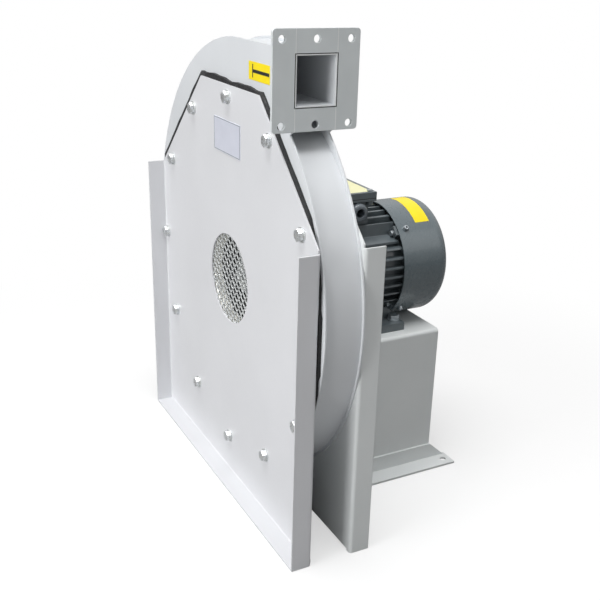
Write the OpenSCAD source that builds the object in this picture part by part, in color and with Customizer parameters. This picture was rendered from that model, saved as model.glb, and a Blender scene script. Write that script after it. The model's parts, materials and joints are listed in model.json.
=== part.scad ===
// Centrifugal blower: a narrow sheet steel scroll between two folded panels,
// a closed high pressure impeller on the shaft of a foot mounted motor, and a
// folded stool that carries the motor.
//
// Working axes: X towards the outlet, Y from the inlet panel to the motor, Z up.
// Working zero: on the floor, under the shaft, at the back face of the front panel.
// The module place() moves this to the middle of the base of the bounding box.

/* [Panels] */
// How far the panels reach past the bolt circle on both sides
panel_edge = 10; // [10:0.5:20]
// How far the panels reach past the bolt circle at the top
panel_top_edge = 14; // [11:0.5:20]
// Thickness of the panel sheet
panel_t = 2; // [1.5:0.1:3]
// Depth of the flanges, sheet included
tray_depth = 26; // [22:0.5:32]
// Inside radius of the sheet bends
bend_r = 2; // [1.5:0.1:3]

/* [Scroll] */
// Width of the scroll over its two cheeks
scroll_w = 49; // [47:0.5:54]
// Thickness of the cheek sheets
cheek_t = 2; // [1.5:0.1:3]
// Thickness of the wrap sheet
wrap_t = 1.5; // [1:0.1:2.5]
// Cheek radius above the shaft, where the scroll runs out into the duct
scroll_r_large = 299.5; // [280:0.5:330]
// How much smaller the cheek radius is at its smallest place
scroll_growth = 55.5; // [50:0.5:62]
// How far the cheeks stand out past the wrap
cheek_lip = 3.5; // [2.5:0.1:4]
// Growth of the cheek radius from its smallest place up to the outlet
cheek_rise = 18; // [14:0.5:22]
// Growth of the wrap radius over the same stretch
wrap_rise = 13; // [9:0.5:14]
// How far the wrap draws back in again at the tongue
tongue_draw = 3; // [2:0.5:4]
// Height of the smallest cheek circle above the floor
ground_gap = 40; // [30:1:80]
// Thickness of the panel gasket
gasket_t = 4; // [3:0.5:5]
// How far the gasket stands out past the panel's edges
gasket_proud = 6; // [3:0.5:7]

/* [Inlet] */
// Diameter of the inlet opening in the front panel
inlet_d = 117; // [110:1:124]
// Thickness of the inlet mesh
mesh_t = 1.2; // [1:0.1:1.5]
// Width of one mesh opening
mesh_pitch = 13; // [10:0.5:16]
// Width of the mesh strands
mesh_strand = 1.8; // [1.4:0.1:2.4]
// Thickness of the inlet nozzle
nozzle_t = 2; // [1.5:0.1:2.2]

/* [Outlet] */
// Distance from the shaft to the face of the outlet flange
outlet_reach = 165; // [158:1:180]
// Width of the upright flange strips
strip_w = 26.5; // [24:0.5:32]
// Height of the cross strips above and below the duct
strip_h = 25.5; // [22:0.5:32]
// Thickness of the outlet flange strips
flange_t = 4; // [3:0.5:6]
// Angle from the outlet side up to the tongue, where the wrap meets the duct's floor
tongue_angle = 75; // [72:0.5:76]
// Diameter of the flange holes
flange_hole_d = 8.5; // [8:0.5:12]
// Distance from the flange's side edges to its holes
hole_side_edge = 10.5; // [8:0.5:14]
// Distance from the flange's top edge to its holes
hole_top_edge = 10.4; // [8:0.1:14]
// Distance from the flange's bottom edge to its holes
hole_low_edge = 7.1; // [6.5:0.1:14]

/* [Panel bolts] */
// Number of bolts round the service opening
panel_bolt_n = 12; // [8:2:12]
// Distance from the bolt circle out to the smallest cheek radius
cheek_margin = 14; // [12:0.5:18]
// Distance from the bolt circle in to the edge of the service opening
bolt_inset = 13; // [11:0.5:18]
// Thread diameter of the panel bolts
bolt_d = 8; // [6:1:8]
// Size of the hexagon heads across their flats
bolt_af = 13; // [10:1:13]
// Height of the hexagon heads
bolt_head_h = 5.3; // [4:0.1:5.5]
// Diameter of the washers
washer_d = 17; // [15:0.5:20]
// Thickness of the washers
washer_t = 1.6; // [1:0.1:2]

/* [Impeller] */
// Gap round the impeller in the service opening
wheel_play = 7; // [5:0.5:12]
// Number of blades
blade_n = 10; // [8:1:12]
// Thickness of the blades
blade_t = 2; // [1.5:0.1:2.5]
// Radius of the blade arcs
blade_arc_r = 150; // [146:1:156]
// Width of the impeller at its rim, over the plates
wheel_rim_w = 25; // [22:0.5:28]
// Thickness of the back plate
back_plate_t = 3; // [2.5:0.1:3]
// Thickness of the front shroud
shroud_t = 2; // [1.5:0.1:2]
// Diameter of the hub boss
hub_d = 44; // [40:1:48]
// Diameter of the hub flange
hub_flange_d = 86; // [82:1:92]

/* [Motor] */
// Outside diameter of the fan cowl
cowl_d = 159; // [150:1:172]
// Gap between the fan cowl and the stool's top
cowl_gap = 0.5; // [0.4:0.1:3]
// How far the fan cowl stands out past the fin tips
cowl_step = 4; // [3:0.5:6]
// Height of the fins over the motor body
fin_h = 9.5; // [8:0.5:12]
// Distance from fin to fin
fin_pitch = 12.3; // [11:0.1:14]
// Thickness of the fins
fin_t = 2.6; // [2:0.1:3.2]
// Length of the fan cowl
cowl_l = 75; // [72:0.5:80]
// Sheet thickness of the fan cowl
cowl_t = 1.5; // [1:0.1:1.8]
// Diameter of the drive end of the shaft
shaft_d = 19; // [18:0.5:19]
// Length of the drive end of the shaft
shaft_end_l = 40; // [38:0.5:42]
// Distance from the shaft shoulder to the first foot holes
foot_c = 50; // [48:0.5:52]
// Distance between the foot holes along the shaft
foot_b = 100; // [98:0.5:102]
// Distance between the foot holes across the shaft
foot_a = 125; // [123:0.5:127]
// Width of the terminal box lid across the shaft
box_w = 94; // [88:1:100]
// Length of the terminal box lid along the shaft
box_l = 96; // [90:1:100]
// Height of the terminal box up to its rim
box_h = 31; // [29:0.5:36]
// Height of the terminal box lid
lid_h = 8; // [7:0.5:12]

/* [Stool] */
// Width of the stool over its side walls
stool_w = 190; // [184:1:196]
// Distance from the rear panel to the rear of the stool
stool_l = 212.5; // [205:0.5:225]
// Thickness of the stool sheet
stool_t = 3; // [2.5:0.1:4]
// Leg length of the foot angles
angle_leg = 28; // [26:0.5:32]
// Thickness of the foot angles
angle_t = 3; // [2.5:0.1:4]
// How far the foot angles run out behind the stool
angle_tail = 27.5; // [22:0.5:30]
// Diameter of the floor fixing holes
floor_hole_d = 9; // [8:0.5:10]

/* [Hidden] */
$fn = 72;

// Overrun of every cut past the face that it opens
cut = 1;
// Play between round pieces that seat in each other on one body
seat = 0.1;
// Radial play of the parts that turn in the bearings
running = 0.05;
// Gap between pieces that must not rub
clear = 0.3;
// Play of a bolt in its hole
bolt_play = 0.5;

// Bolt circle, service opening, impeller and heights, all from the scroll
scroll_r_small = scroll_r_large - scroll_growth;
panel_bolt_r = scroll_r_small - cheek_margin;
service_d = 2 * (panel_bolt_r - bolt_inset);
wheel_d = service_d - 2 * wheel_play;
axis_z = scroll_r_small + ground_gap;
shaft_h = cowl_d / 2 + cowl_gap;
stool_h = axis_z - shaft_h;

// Outline of the panels: shoulders and top corners in shares of the bolt circle's radius
shoulder_share = 0.4545;
top_corner_share = 0.378;
panel_w = 2 * (panel_bolt_r + panel_edge);
panel_h = axis_z + panel_bolt_r + panel_top_edge;
panel_side_h = axis_z + panel_bolt_r * shoulder_share;
panel_top_w = 2 * panel_bolt_r * top_corner_share;
bend_out = bend_r + panel_t;

// Places along the shaft
cheek_y = gasket_t;
scroll_back = cheek_y + scroll_w;
inner_front = cheek_y + cheek_t;
inner_back = scroll_back - cheek_t;
rear_panel_y = scroll_back;
rear_panel_back = rear_panel_y + panel_t;

// Scroll outline
small_angle = -20;
cheek_end_angle = 54;
wrap_peak_angle = 40;
wrap_draw_angle = 20;
full_sweep = 250;
growth_share = 1.6;
rise_share = 1.4;
outline_steps = 90;
wrap_top = scroll_r_large - cheek_lip;
tongue_r = scroll_r_small - cheek_lip + wrap_rise - tongue_draw;
duct_low = tongue_r * sin(tongue_angle);
duct_h = wrap_top - duct_low;
tongue_inner_angle = asin((duct_low + wrap_t) / (tongue_r - wrap_t));

// Outlet flange, heights counted from the shaft
flange_back = outlet_reach - flange_t;
strip_mid = cheek_y + scroll_w / 2;
flange_h = duct_h + 2 * strip_h;
flange_low = duct_low - strip_h;
flange_corner_r = flange_t;
hole_low = flange_low + hole_low_edge;
hole_high = flange_low + flange_h - hole_top_edge;
duct_edge_inset = 1;
duct_end = outlet_reach - duct_edge_inset;

// Panel bolts, rivet nuts and nameplate
nut_body_d = 10.8;
nut_flange_d = 14;
nut_flange_t = 1.2;
nut_l = 14;
bolt_reach = 18;
plate_w = 80;
plate_h = 41;
plate_t = 0.8;
plate_drop = 42;
plate_shift = -2.5;

// Inlet
mesh_margin = 9;
mesh_stretch_share = 0.5;
nozzle_flange_w = 16;
nozzle_in = 4.5;
nozzle_l = 10.5;
nozzle_lap = 0.7;
eye_play = 3;

// Impeller
wheel_r = wheel_d / 2;
wheel_gap = 3;
back_plate_rear = inner_back - wheel_gap;
back_plate_front = back_plate_rear - back_plate_t;
wheel_front = mesh_t + nozzle_l - nozzle_lap;
wheel_rim_front = back_plate_rear - wheel_rim_w;
eye_r = inlet_d / 2 - nozzle_in + nozzle_t + eye_play;
blade_in_r = eye_r + blade_t;
blade_out_r = wheel_r - blade_t;
blade_offset_share = 1.0667;
blade_centre = blade_arc_r * blade_offset_share;
hub_flange_t = 4;
hub_nose = 26;
rivet_d = 6;
rivet_head_d = 9;
rivet_head_h = 1.4;
rivet_n = 8;
rivet_r = (hub_flange_d + hub_d) / 4;
hub_front = back_plate_front - hub_nose;
hub_washer_d = 28;
hub_washer_t = 2;

// Shaft and its key
shoulder_gap = 9;
shoulder_y = rear_panel_back + shoulder_gap;
shaft_tip_y = shoulder_y - shaft_end_l;
seat_d = 20;
shaft_mid_d = 26;
shaft_tail_d = 14;
key_w = 6;
key_h = 6;
key_l = 20;
key_sink = 3.5;

// Motor, counted from the shoulder of the shaft
shield_y = shoulder_y;
shield_t = 18;
frame_y = shield_y + shield_t;
frame_l = 136;
frame_back = frame_y + frame_l;
fin_tip_d = cowl_d - 2 * cowl_step;
body_d = fin_tip_d - 2 * fin_h;
bearing_d = 47;
bearing_w = 14;
bearing_inner_d = 28;
shield_lip = 5;
rear_shield_t = 18;
bearing_front_y = shield_y + shield_lip;
bearing_rear_y = frame_back + rear_shield_t - shield_lip - bearing_w;
frame_wall = 8;
core_d = body_d - 2 * frame_wall;
air_gap = 0.6;
rotor_share = 0.638;
rotor_d = core_d * rotor_share;
stator_bore = rotor_d + 2 * air_gap;
core_l = 76;
core_y = frame_y + (frame_l - core_l) / 2;
coil_l = 16;
coil_r = 5;
ring_l = 8;

// Fins: how many on each side of the middle, and where the middle side fin lies in pitches
side_fins = 3;
top_fins = 3;
side_fin_share = -0.29;

// Rib and sloping shelf beside the end shield's screws, in shares of the body's radius
pocket_shares = [[0.64, 0.58], [0.64, 0.965], [0.69, 0.965], [0.69, 0.72], [0.91, 0.63], [0.91, 0.58]];

// Screws of the rear end shield and of the fan cowl
screw_out = 5;
screw_place_r = body_d / 2 + screw_out;
screw_d = 5;
screw_head_d = 8;
screw_head_h = 4;
lug_w = 14;
lug_t = 6;
head_room = 24;
screw_sink = 7;
cowl_overlap = 2;
cowl_y = frame_back - cowl_overlap;
cowl_round = 17;
lug_out = sqrt(pow(cowl_d / 2 - cowl_t - seat, 2) - pow(lug_w / 2, 2));
cowl_lug_in = 12;
cowl_lug_y = cowl_y + cowl_lug_in;

// Slots of the cowl and the fan behind them
slot_w = 5;
slot_pitch = 11;
slot_first_r = 15;
slot_rings = floor((cowl_d / 2 - cowl_round - slot_first_r) / slot_pitch);
slot_angle = 50;
slot_n = 6;
fan_play = 15.5;
fan_d = cowl_d - 2 * fan_play;
fan_w = 22;
fan_hub_d = 30;
fan_blade_t = 2.5;
fan_blade_n = 8;
fan_gap = 6;
fan_y = frame_back + rear_shield_t + fan_gap;

// Feet; the webs end inside the body, at shares of its radius
foot_w = 32;
foot_t = 11;
foot_edge = 15.5;
foot_out = foot_a / 2 + foot_edge;
foot_over = 8;
foot_web = 8;
web_out_shares = [0.72, -0.66];
web_in_shares = [0.55, -0.7];
foot_hole_d = bolt_d + 2 * bolt_play;
foot_y = shoulder_y + foot_c;
foot_bolt_l = 26;
foot_washer_d = 16;
foot_nut_h = 6.5;

// Terminal box: a neck under a wider rim that carries the lid
box_wall = 4;
box_pad_h = 2;
box_pad_drop = 16;
box_floor_z = axis_z + body_d / 2 + box_pad_h;
box_top_z = box_floor_z + box_h;
gasket_h = 1;
lid_top_z = box_top_z + gasket_h + lid_h;
box_set_back = 8;
box_y = frame_y + box_set_back;
box_rim_t = 3;
rim_z = box_top_z - box_rim_t;
neck_in_x = 7;
neck_in_y = 8;
neck_w = box_w - 2 * neck_in_x;
neck_l = box_l - 2 * neck_in_y;
neck_y = box_y + neck_in_y;
post_w = 10;
post_l = 6;
lid_wall = 3;
board_w = 50;
board_l = 34;
board_t = 8;
pin_d = 4;
pin_h = 10;
gland_d = 24;
gland_nose_d = 18;
gland_nose_l = 5;
gland_collar_l = 4;
gland_bore_d = 12;
gland_place = 69.5;
plug_place = 28;
gland_up = 15;

// Stool and foot angles
stool_back = rear_panel_back + stool_l;
stool_bend = bend_r + stool_t;
stool_return = 16;
stool_lift = panel_t + clear;
angle_high = 25;
angle_y = rear_panel_y + tray_depth + clear;
angle_back = stool_back + angle_tail;
angle_tip = 3;
floor_hole_in = 11;
floor_hole_front = 18;
floor_hole_out = 13;

// Radius of the cheek outline at an angle from the outlet side, against the airflow
function cheek_r(a) = a <= small_angle
    ? scroll_r_small + (scroll_r_large - scroll_r_small) * pow((small_angle - a) / full_sweep, growth_share)
    : scroll_r_small + cheek_rise * pow((a - small_angle) / (cheek_end_angle - small_angle), rise_share);

// Radius of the wrap's outer face at the same angle
function wrap_r(a) = a <= small_angle
    ? cheek_r(a) - cheek_lip
    : a <= wrap_peak_angle
        ? scroll_r_small - cheek_lip
            + wrap_rise * pow((a - small_angle) / (wrap_peak_angle - small_angle), rise_share)
        : tongue_r + tongue_draw * (1 - min(1, (a - wrap_peak_angle) / wrap_draw_angle));

function polar(r, a) = [r * cos(a), r * sin(a)];

// Angle at step i of an outline that starts at angle a and ends above the shaft
function step_angle(a, i) = a - i * (a + 270) / outline_steps;

cheek_points = [for (i = [0:outline_steps]) let (a = step_angle(cheek_end_angle, i)) polar(cheek_r(a), a)];
gasket_points = [for (i = [0:outline_steps]) let (a = step_angle(cheek_end_angle, i))
    polar(cheek_r(a) - gasket_proud / 4, a)];
wrap_points = [for (i = [0:outline_steps]) let (a = step_angle(tongue_angle, i)) polar(wrap_r(a), a)];
flow_points = [for (i = [0:outline_steps]) let (a = step_angle(tongue_inner_angle, i))
    polar(wrap_r(a) - wrap_t, a)];

// Middle of the base of the bounding box
box_x_low = min([for (p = cheek_points) p[0]]);
box_x_high = max([for (p = cheek_points) p[0]]);
box_y_low = -tray_depth;
box_y_high = angle_back;
mid_x = (box_x_low + box_x_high) / 2;
mid_y = (box_y_low + box_y_high) / 2;

// Moves the working zero to the part's own origin
module place() {
    translate([-mid_x, -mid_y, 0]) children();
}

// Extrudes an X-Z outline, drawn about the shaft, from y0 over a length along Y
module upright(y0, l) {
    translate([0, y0 + l, axis_z])
        rotate([90, 0, 0])
            linear_extrude(l) children();
}

// Revolves a profile of radius and place along Y about the shaft
module about_shaft() {
    translate([0, 0, axis_z])
        rotate([-90, 0, 0])
            rotate_extrude() children();
}

// Round bar along Y with its middle at x, z from y0 over a length
module bar_y(x, z, d, y0, l) {
    translate([x, y0, z])
        rotate([-90, 0, 0])
            cylinder(d = d, h = l);
}

// Hexagonal bar along Y
module hex_y(x, z, af, y0, l) {
    translate([x, y0, z])
        rotate([-90, 30, 0])
            cylinder(d = af / cos(30), h = l, $fn = 6);
}

// Repeats its children at every panel bolt
module at_panel_bolts() {
    for (i = [0:panel_bolt_n - 1])
        let (p = polar(panel_bolt_r, i * 360 / panel_bolt_n))
            translate([p[0], 0, axis_z + p[1]]) children();
}

// Repeats its children at the four corners of the motor's feet, at their height
module at_feet(z) {
    for (side = [-1, 1], row = [0, 1])
        translate([side * foot_a / 2, foot_y + row * foot_b, z]) children();
}

// Repeats its children at the four diagonal places of the motor body
module at_diagonals() {
    for (a = [45:90:315])
        translate([0, 0, axis_z])
            rotate([0, -a, 0]) children();
}

// L section of a bent sheet: legs along +X and +Y, the outside corner at zero
module bent_section(leg_x, leg_y, t, r) {
    translate([r + t, 0]) square([leg_x - r - t, t]);
    translate([0, r + t]) square([t, leg_y - r - t]);
    intersection() {
        square(r + t);
        translate([r + t, r + t])
            difference() {
                circle(r = r + t);
                circle(r = r);
            }
    }
}

// Web of a folded panel: the outline inside the bends, with the sloping shoulders
module panel_web() {
    shoulder = (panel_h - panel_side_h) / (panel_w / 2 - panel_top_w / 2);
    web_x = panel_w / 2 - bend_out;
    polygon([
        [-web_x, bend_out - axis_z],
        [web_x, bend_out - axis_z],
        [web_x, panel_side_h + bend_out * shoulder - axis_z],
        [panel_top_w / 2, panel_h - axis_z],
        [-panel_top_w / 2, panel_h - axis_z],
        [-web_x, panel_side_h + bend_out * shoulder - axis_z]
    ]);
}

// Folded panel with flanges on the left, right and bottom that point along -Y.
// Its web's back face lies at y = 0.
module folded_panel() {
    upright(-panel_t, panel_t) panel_web();
    for (side = [-1, 1])
        scale([side, 1, 1])
            translate([panel_w / 2, 0, 0])
                rotate([0, 0, 180])
                    linear_extrude(panel_side_h)
                        bent_section(2 * bend_out, tray_depth, panel_t, bend_r);
    translate([-panel_w / 2 + panel_t, 0, 0])
        rotate([90, 0, 90])
            linear_extrude(panel_w - 2 * panel_t)
                scale([-1, 1])
                    bent_section(tray_depth, 2 * bend_out, panel_t, bend_r);
}

module front_panel() {
    color("#d8dcdd")
        difference() {
            folded_panel();
            bar_y(0, axis_z, inlet_d, -panel_t - cut, panel_t + 2 * cut);
            at_panel_bolts() bar_y(0, 0, bolt_d + 2 * bolt_play, -panel_t - cut, panel_t + 2 * cut);
        }
}

// Outline of the gasket: the panel's upper edges moved outwards, kept on the cheek
module gasket_outline() {
    dx = panel_w / 2 - panel_top_w / 2;
    dz = panel_h - panel_side_h;
    edge = norm([dx, dz]);
    top_z = panel_h + gasket_proud - axis_z;
    corner_x = panel_top_w / 2 + gasket_proud * (edge - dz) / dx;
    low_x = panel_w / 2 - clear;
    low_z = top_z - (low_x - corner_x) * dz / dx;
    intersection() {
        polygon([
            [-low_x, -axis_z], [low_x, -axis_z], [low_x, low_z],
            [corner_x, top_z], [-corner_x, top_z], [-low_x, low_z]
        ]);
        polygon(concat(gasket_points, [
            [flange_back - clear, scroll_r_large - gasket_proud / 4],
            [flange_back - clear, flange_low]
        ]));
    }
}

module panel_gasket() {
    color("#1c1c1e")
        difference() {
            upright(0, gasket_t) gasket_outline();
            bar_y(0, axis_z, service_d + 2 * clear, -cut, gasket_t + 2 * cut);
            at_panel_bolts() bar_y(0, 0, nut_flange_d + 2 * bolt_play, -cut, gasket_t + 2 * cut);
        }
}

// Wide washers; the two beside the side flanges are clipped where the bend starts
module panel_washers() {
    flat_x = panel_w / 2 - bend_out - clear;
    color("#c9ccce")
        intersection() {
            at_panel_bolts()
                difference() {
                    bar_y(0, 0, washer_d, -panel_t - washer_t, washer_t);
                    bar_y(0, 0, bolt_d + bolt_play, -panel_t - washer_t - cut, washer_t + 2 * cut);
                }
            translate([-flat_x, -tray_depth, 0])
                cube([2 * flat_x, tray_depth, panel_h]);
        }
}

module panel_bolts() {
    color("#d0d3d5")
        at_panel_bolts() {
            hex_y(0, 0, bolt_af, -panel_t - washer_t - bolt_head_h, bolt_head_h);
            bar_y(0, 0, bolt_d, -panel_t - washer_t, bolt_reach);
        }
}

module panel_rivet_nuts() {
    color("#c2c6c8")
        at_panel_bolts()
            difference() {
                union() {
                    bar_y(0, 0, nut_flange_d, cheek_y - nut_flange_t, nut_flange_t);
                    bar_y(0, 0, nut_body_d, cheek_y - nut_flange_t, nut_l);
                }
                bar_y(0, 0, bolt_d + 2 * seat, -cut, cheek_y + nut_l + cut);
            }
}

// Diamond openings of the expanded mesh, in rows that are shifted by half a pitch
module inlet_mesh() {
    mesh_d = inlet_d + 2 * mesh_margin;
    row_h = mesh_pitch * mesh_stretch_share;
    hole_w = mesh_pitch - mesh_strand;
    hole_share = (row_h * 2 - mesh_strand) / hole_w;
    rows = floor(inlet_d / 2 / row_h);
    cols = floor(inlet_d / 2 / mesh_pitch);
    color("#b9bcba")
        upright(0, mesh_t)
            difference() {
                circle(d = mesh_d);
                for (row = [-rows:rows], col = [-cols:cols])
                    let (x = (col + (row % 2 == 0 ? 0 : 1 / 2)) * mesh_pitch, z = row * row_h)
                        if (norm([x, z]) < inlet_d / 2 - mesh_strand)
                            translate([x, z])
                                polygon([
                                    [-hole_w / 2, 0], [0, -hole_w * hole_share / 2],
                                    [hole_w / 2, 0], [0, hole_w * hole_share / 2]
                                ]);
            }
}

// Spun nozzle that leads the air from the panel into the eye of the impeller
module inlet_nozzle() {
    mouth = inlet_d / 2;
    throat = mouth - nozzle_in;
    color("#c4c8c9")
        about_shaft()
            polygon([
                [mouth, mesh_t],
                [mouth + nozzle_flange_w, mesh_t],
                [mouth + nozzle_flange_w, mesh_t + nozzle_t],
                [mouth + nozzle_t, mesh_t + nozzle_t],
                [throat + nozzle_t, mesh_t + nozzle_l],
                [throat, mesh_t + nozzle_l]
            ]);
}

module nameplate() {
    color("#e8e9ee")
        translate([plate_shift - plate_w / 2, -panel_t - plate_t, panel_h - plate_drop - plate_h])
            cube([plate_w, plate_t, plate_h]);
}

// Cheek outline up to the back of the outlet flange, with the tab inside the flange
module cheek_outline() {
    polygon(concat(cheek_points, [
        [flange_back, scroll_r_large],
        [flange_back, wrap_top],
        [duct_end, wrap_top],
        [duct_end, duct_low],
        [flange_back, duct_low],
        [flange_back, flange_low]
    ]));
}

module scroll_front_cheek() {
    color("#d9dddd")
        difference() {
            upright(cheek_y, cheek_t) cheek_outline();
            bar_y(0, axis_z, service_d, cheek_y - cut, cheek_t + 2 * cut);
            at_panel_bolts() bar_y(0, 0, nut_body_d + 2 * seat, cheek_y - cut, cheek_t + 2 * cut);
        }
}

module scroll_rear_cheek() {
    color("#d5d9d9")
        difference() {
            upright(inner_back, cheek_t) cheek_outline();
            bar_y(0, axis_z, hub_d + 2 * eye_play, inner_back - cut, cheek_t + 2 * cut);
        }
}

// Sheet that closes the scroll between the cheeks, from the duct's floor round the
// tongue and the spiral to the duct's roof
module scroll_wrap() {
    color("#dde1e2")
        difference() {
            upright(inner_front, inner_back - inner_front)
                polygon(concat(wrap_points, [[duct_end, wrap_top], [duct_end, duct_low]]));
            upright(inner_front - cut, inner_back - inner_front + 2 * cut)
                polygon(concat(flow_points, [
                    [duct_end + cut, wrap_top - wrap_t],
                    [duct_end + cut, duct_low + wrap_t]
                ]));
        }
}

// Upright strip of the outlet flange, drawn from the duct outwards along +Y
module upright_strip() {
    difference() {
        translate([flange_back, 0, axis_z + flange_low])
            rotate([90, 0, 90])
                linear_extrude(flange_t) {
                    square([strip_w - flange_corner_r, flange_h]);
                    translate([0, flange_corner_r]) square([strip_w, flange_h - 2 * flange_corner_r]);
                    for (z = [flange_corner_r, flange_h - flange_corner_r])
                        translate([strip_w - flange_corner_r, z]) circle(r = flange_corner_r);
                }
        for (z = [hole_low, hole_high])
            flange_hole(strip_w - hole_side_edge, z);
    }
}

// One hole of the outlet flange at a place along Y and a height over the shaft
module flange_hole(y, z) {
    translate([flange_back - cut, y, axis_z + z])
        rotate([0, 90, 0])
            cylinder(d = flange_hole_d, h = flange_t + 2 * cut);
}

module outlet_strip_left() {
    color("#a6acad")
        translate([0, cheek_y, 0])
            scale([1, -1, 1]) upright_strip();
}

module outlet_strip_right() {
    color("#a6acad")
        translate([0, scroll_back, 0]) upright_strip();
}

// Cross strip of the outlet flange from a height over the shaft, with its middle hole
module cross_strip(low, hole_z) {
    difference() {
        translate([flange_back, cheek_y + seat, axis_z + low])
            cube([flange_t, scroll_w - 2 * seat, strip_h]);
        flange_hole(strip_mid, hole_z);
    }
}

module outlet_strip_top() {
    color("#a6acad") cross_strip(wrap_top, hole_high);
}

module outlet_strip_bottom() {
    color("#a6acad") cross_strip(flange_low, hole_low);
}

module rear_panel() {
    color("#c9cdcc")
        difference() {
            translate([0, rear_panel_y, 0])
                scale([1, -1, 1]) folded_panel();
            bar_y(0, axis_z, hub_d + 2 * eye_play, rear_panel_y - cut, panel_t + 2 * cut);
        }
}

module seal_plate() {
    color("#c2c6c6")
        about_shaft()
            translate([shaft_d / 2 + eye_play, rear_panel_back])
                square([hub_d / 2 + hub_flange_t, nozzle_t]);
}

// Felt ring in the holes of the rear cheek and the rear panel
module shaft_seal() {
    color("#5b5650")
        about_shaft()
            translate([shaft_d / 2 + clear, inner_back])
                square([hub_d / 2 + eye_play - seat - shaft_d / 2 - clear, rear_panel_back - inner_back]);
}

module impeller_back_plate() {
    color("#c4c7c8")
        difference() {
            about_shaft()
                translate([hub_d / 2 + seat, back_plate_front])
                    square([wheel_r - hub_d / 2 - seat, back_plate_t]);
            at_rivets() bar_y(rivet_r, 0, rivet_d + 2 * seat, back_plate_front - cut, back_plate_t + 2 * cut);
        }
}

// Conical shroud with a short straight collar at the eye
module impeller_front_shroud() {
    color("#c4c7c8")
        about_shaft()
            polygon([
                [eye_r, wheel_front],
                [eye_r + shroud_t, wheel_front],
                [eye_r + 2 * shroud_t, wheel_front + shroud_t],
                [wheel_r, wheel_rim_front],
                [wheel_r, wheel_rim_front + shroud_t],
                [eye_r, wheel_front + 2 * shroud_t]
            ]);
}

// Backward curved blades: arcs that stand between the shroud and the back plate
module impeller_blades() {
    arc_in = acos((pow(blade_arc_r, 2) + pow(blade_centre, 2) - pow(blade_in_r, 2))
        / (2 * blade_arc_r * blade_centre));
    arc_out = acos((pow(blade_arc_r, 2) + pow(blade_centre, 2) - pow(blade_out_r, 2))
        / (2 * blade_arc_r * blade_centre));
    color("#b6babb")
        intersection() {
            about_shaft()
                polygon([
                    [eye_r, wheel_front + 2 * shroud_t],
                    [wheel_r, wheel_rim_front + shroud_t],
                    [wheel_r, back_plate_front],
                    [eye_r, back_plate_front]
                ]);
            translate([0, 0, axis_z])
                for (i = [0:blade_n - 1])
                    rotate([0, i * 360 / blade_n, 0])
                        translate([blade_centre, wheel_front, 0])
                            rotate([-90, 180 - arc_out, 0])
                                rotate_extrude(angle = arc_out - arc_in)
                                    translate([blade_arc_r - blade_t / 2, 0])
                                        square([blade_t, back_plate_front - wheel_front]);
        }
}

// Repeats its children at the rivets of the hub, turned about the shaft
module at_rivets() {
    for (i = [0:rivet_n - 1])
        translate([0, 0, axis_z])
            rotate([0, i * 360 / rivet_n, 0]) children();
}

module impeller_hub() {
    color("#9ea3a5")
        difference() {
            about_shaft()
                polygon([
                    [shaft_d / 2 + seat, hub_front],
                    [hub_d / 2, hub_front],
                    [hub_d / 2, back_plate_front - hub_flange_t],
                    [hub_flange_d / 2, back_plate_front - hub_flange_t],
                    [hub_flange_d / 2, back_plate_front],
                    [hub_d / 2, back_plate_front],
                    [hub_d / 2, back_plate_rear],
                    [shaft_d / 2 + seat, back_plate_rear]
                ]);
            at_rivets()
                bar_y(rivet_r, 0, rivet_d + 2 * seat, back_plate_front - hub_flange_t - cut, hub_flange_t + 2 * cut);
            translate([-key_w / 2 - seat / 2, hub_front - cut, axis_z])
                cube([key_w + seat, hub_nose + back_plate_t + 2 * cut, shaft_d / 2 + key_h - key_sink + seat]);
        }
}

module hub_rivets() {
    grip = hub_flange_t + back_plate_t;
    low = back_plate_front - hub_flange_t;
    color("#aeb2b4")
        at_rivets() {
            bar_y(rivet_r, 0, rivet_d, low - rivet_head_h, grip + 2 * rivet_head_h);
            bar_y(rivet_r, 0, rivet_head_d, low - rivet_head_h, rivet_head_h);
            bar_y(rivet_r, 0, rivet_head_d, low + grip, rivet_head_h);
        }
}

module hub_washer() {
    color("#b9bdbf")
        difference() {
            bar_y(0, axis_z, hub_washer_d, hub_front - hub_washer_t, hub_washer_t);
            bar_y(0, axis_z, bolt_d + bolt_play, hub_front - hub_washer_t - cut, hub_washer_t + 2 * cut);
        }
}

module hub_bolt() {
    head_y = hub_front - hub_washer_t - bolt_head_h;
    color("#a9adb0") {
        hex_y(0, axis_z, bolt_af, head_y, bolt_head_h);
        bar_y(0, axis_z, bolt_d, head_y + bolt_head_h, bolt_reach);
    }
}

// Stepped shaft: impeller seat, two bearing seats, core seat and fan seat
module motor_shaft() {
    fan_end = fan_y + fan_w;
    color("#b4b8ba")
        difference() {
            about_shaft()
                polygon([
                    [0, shaft_tip_y],
                    [shaft_d / 2 - seat, shaft_tip_y],
                    [shaft_d / 2, shaft_tip_y + seat],
                    [shaft_d / 2, shoulder_y],
                    [seat_d / 2, shoulder_y],
                    [seat_d / 2, bearing_front_y + bearing_w],
                    [shaft_mid_d / 2, bearing_front_y + bearing_w],
                    [shaft_mid_d / 2, bearing_rear_y],
                    [seat_d / 2, bearing_rear_y],
                    [seat_d / 2, bearing_rear_y + bearing_w + shield_lip],
                    [shaft_tail_d / 2, bearing_rear_y + bearing_w + shield_lip],
                    [shaft_tail_d / 2, fan_end],
                    [0, fan_end]
                ]);
            bar_y(0, axis_z, bolt_d + 2 * seat, shaft_tip_y - cut, bolt_reach + cut);
            translate([-key_w / 2 - seat / 2, key_y() - seat, axis_z + shaft_d / 2 - key_sink - seat])
                cube([key_w + seat, key_l + 2 * seat, key_h]);
        }
}

// Where the key starts along the shaft
function key_y() = back_plate_rear - key_l;

module shaft_key() {
    color("#85898c")
        translate([-key_w / 2, key_y(), axis_z + shaft_d / 2 - key_sink])
            cube([key_w, key_l, key_h]);
}

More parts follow.
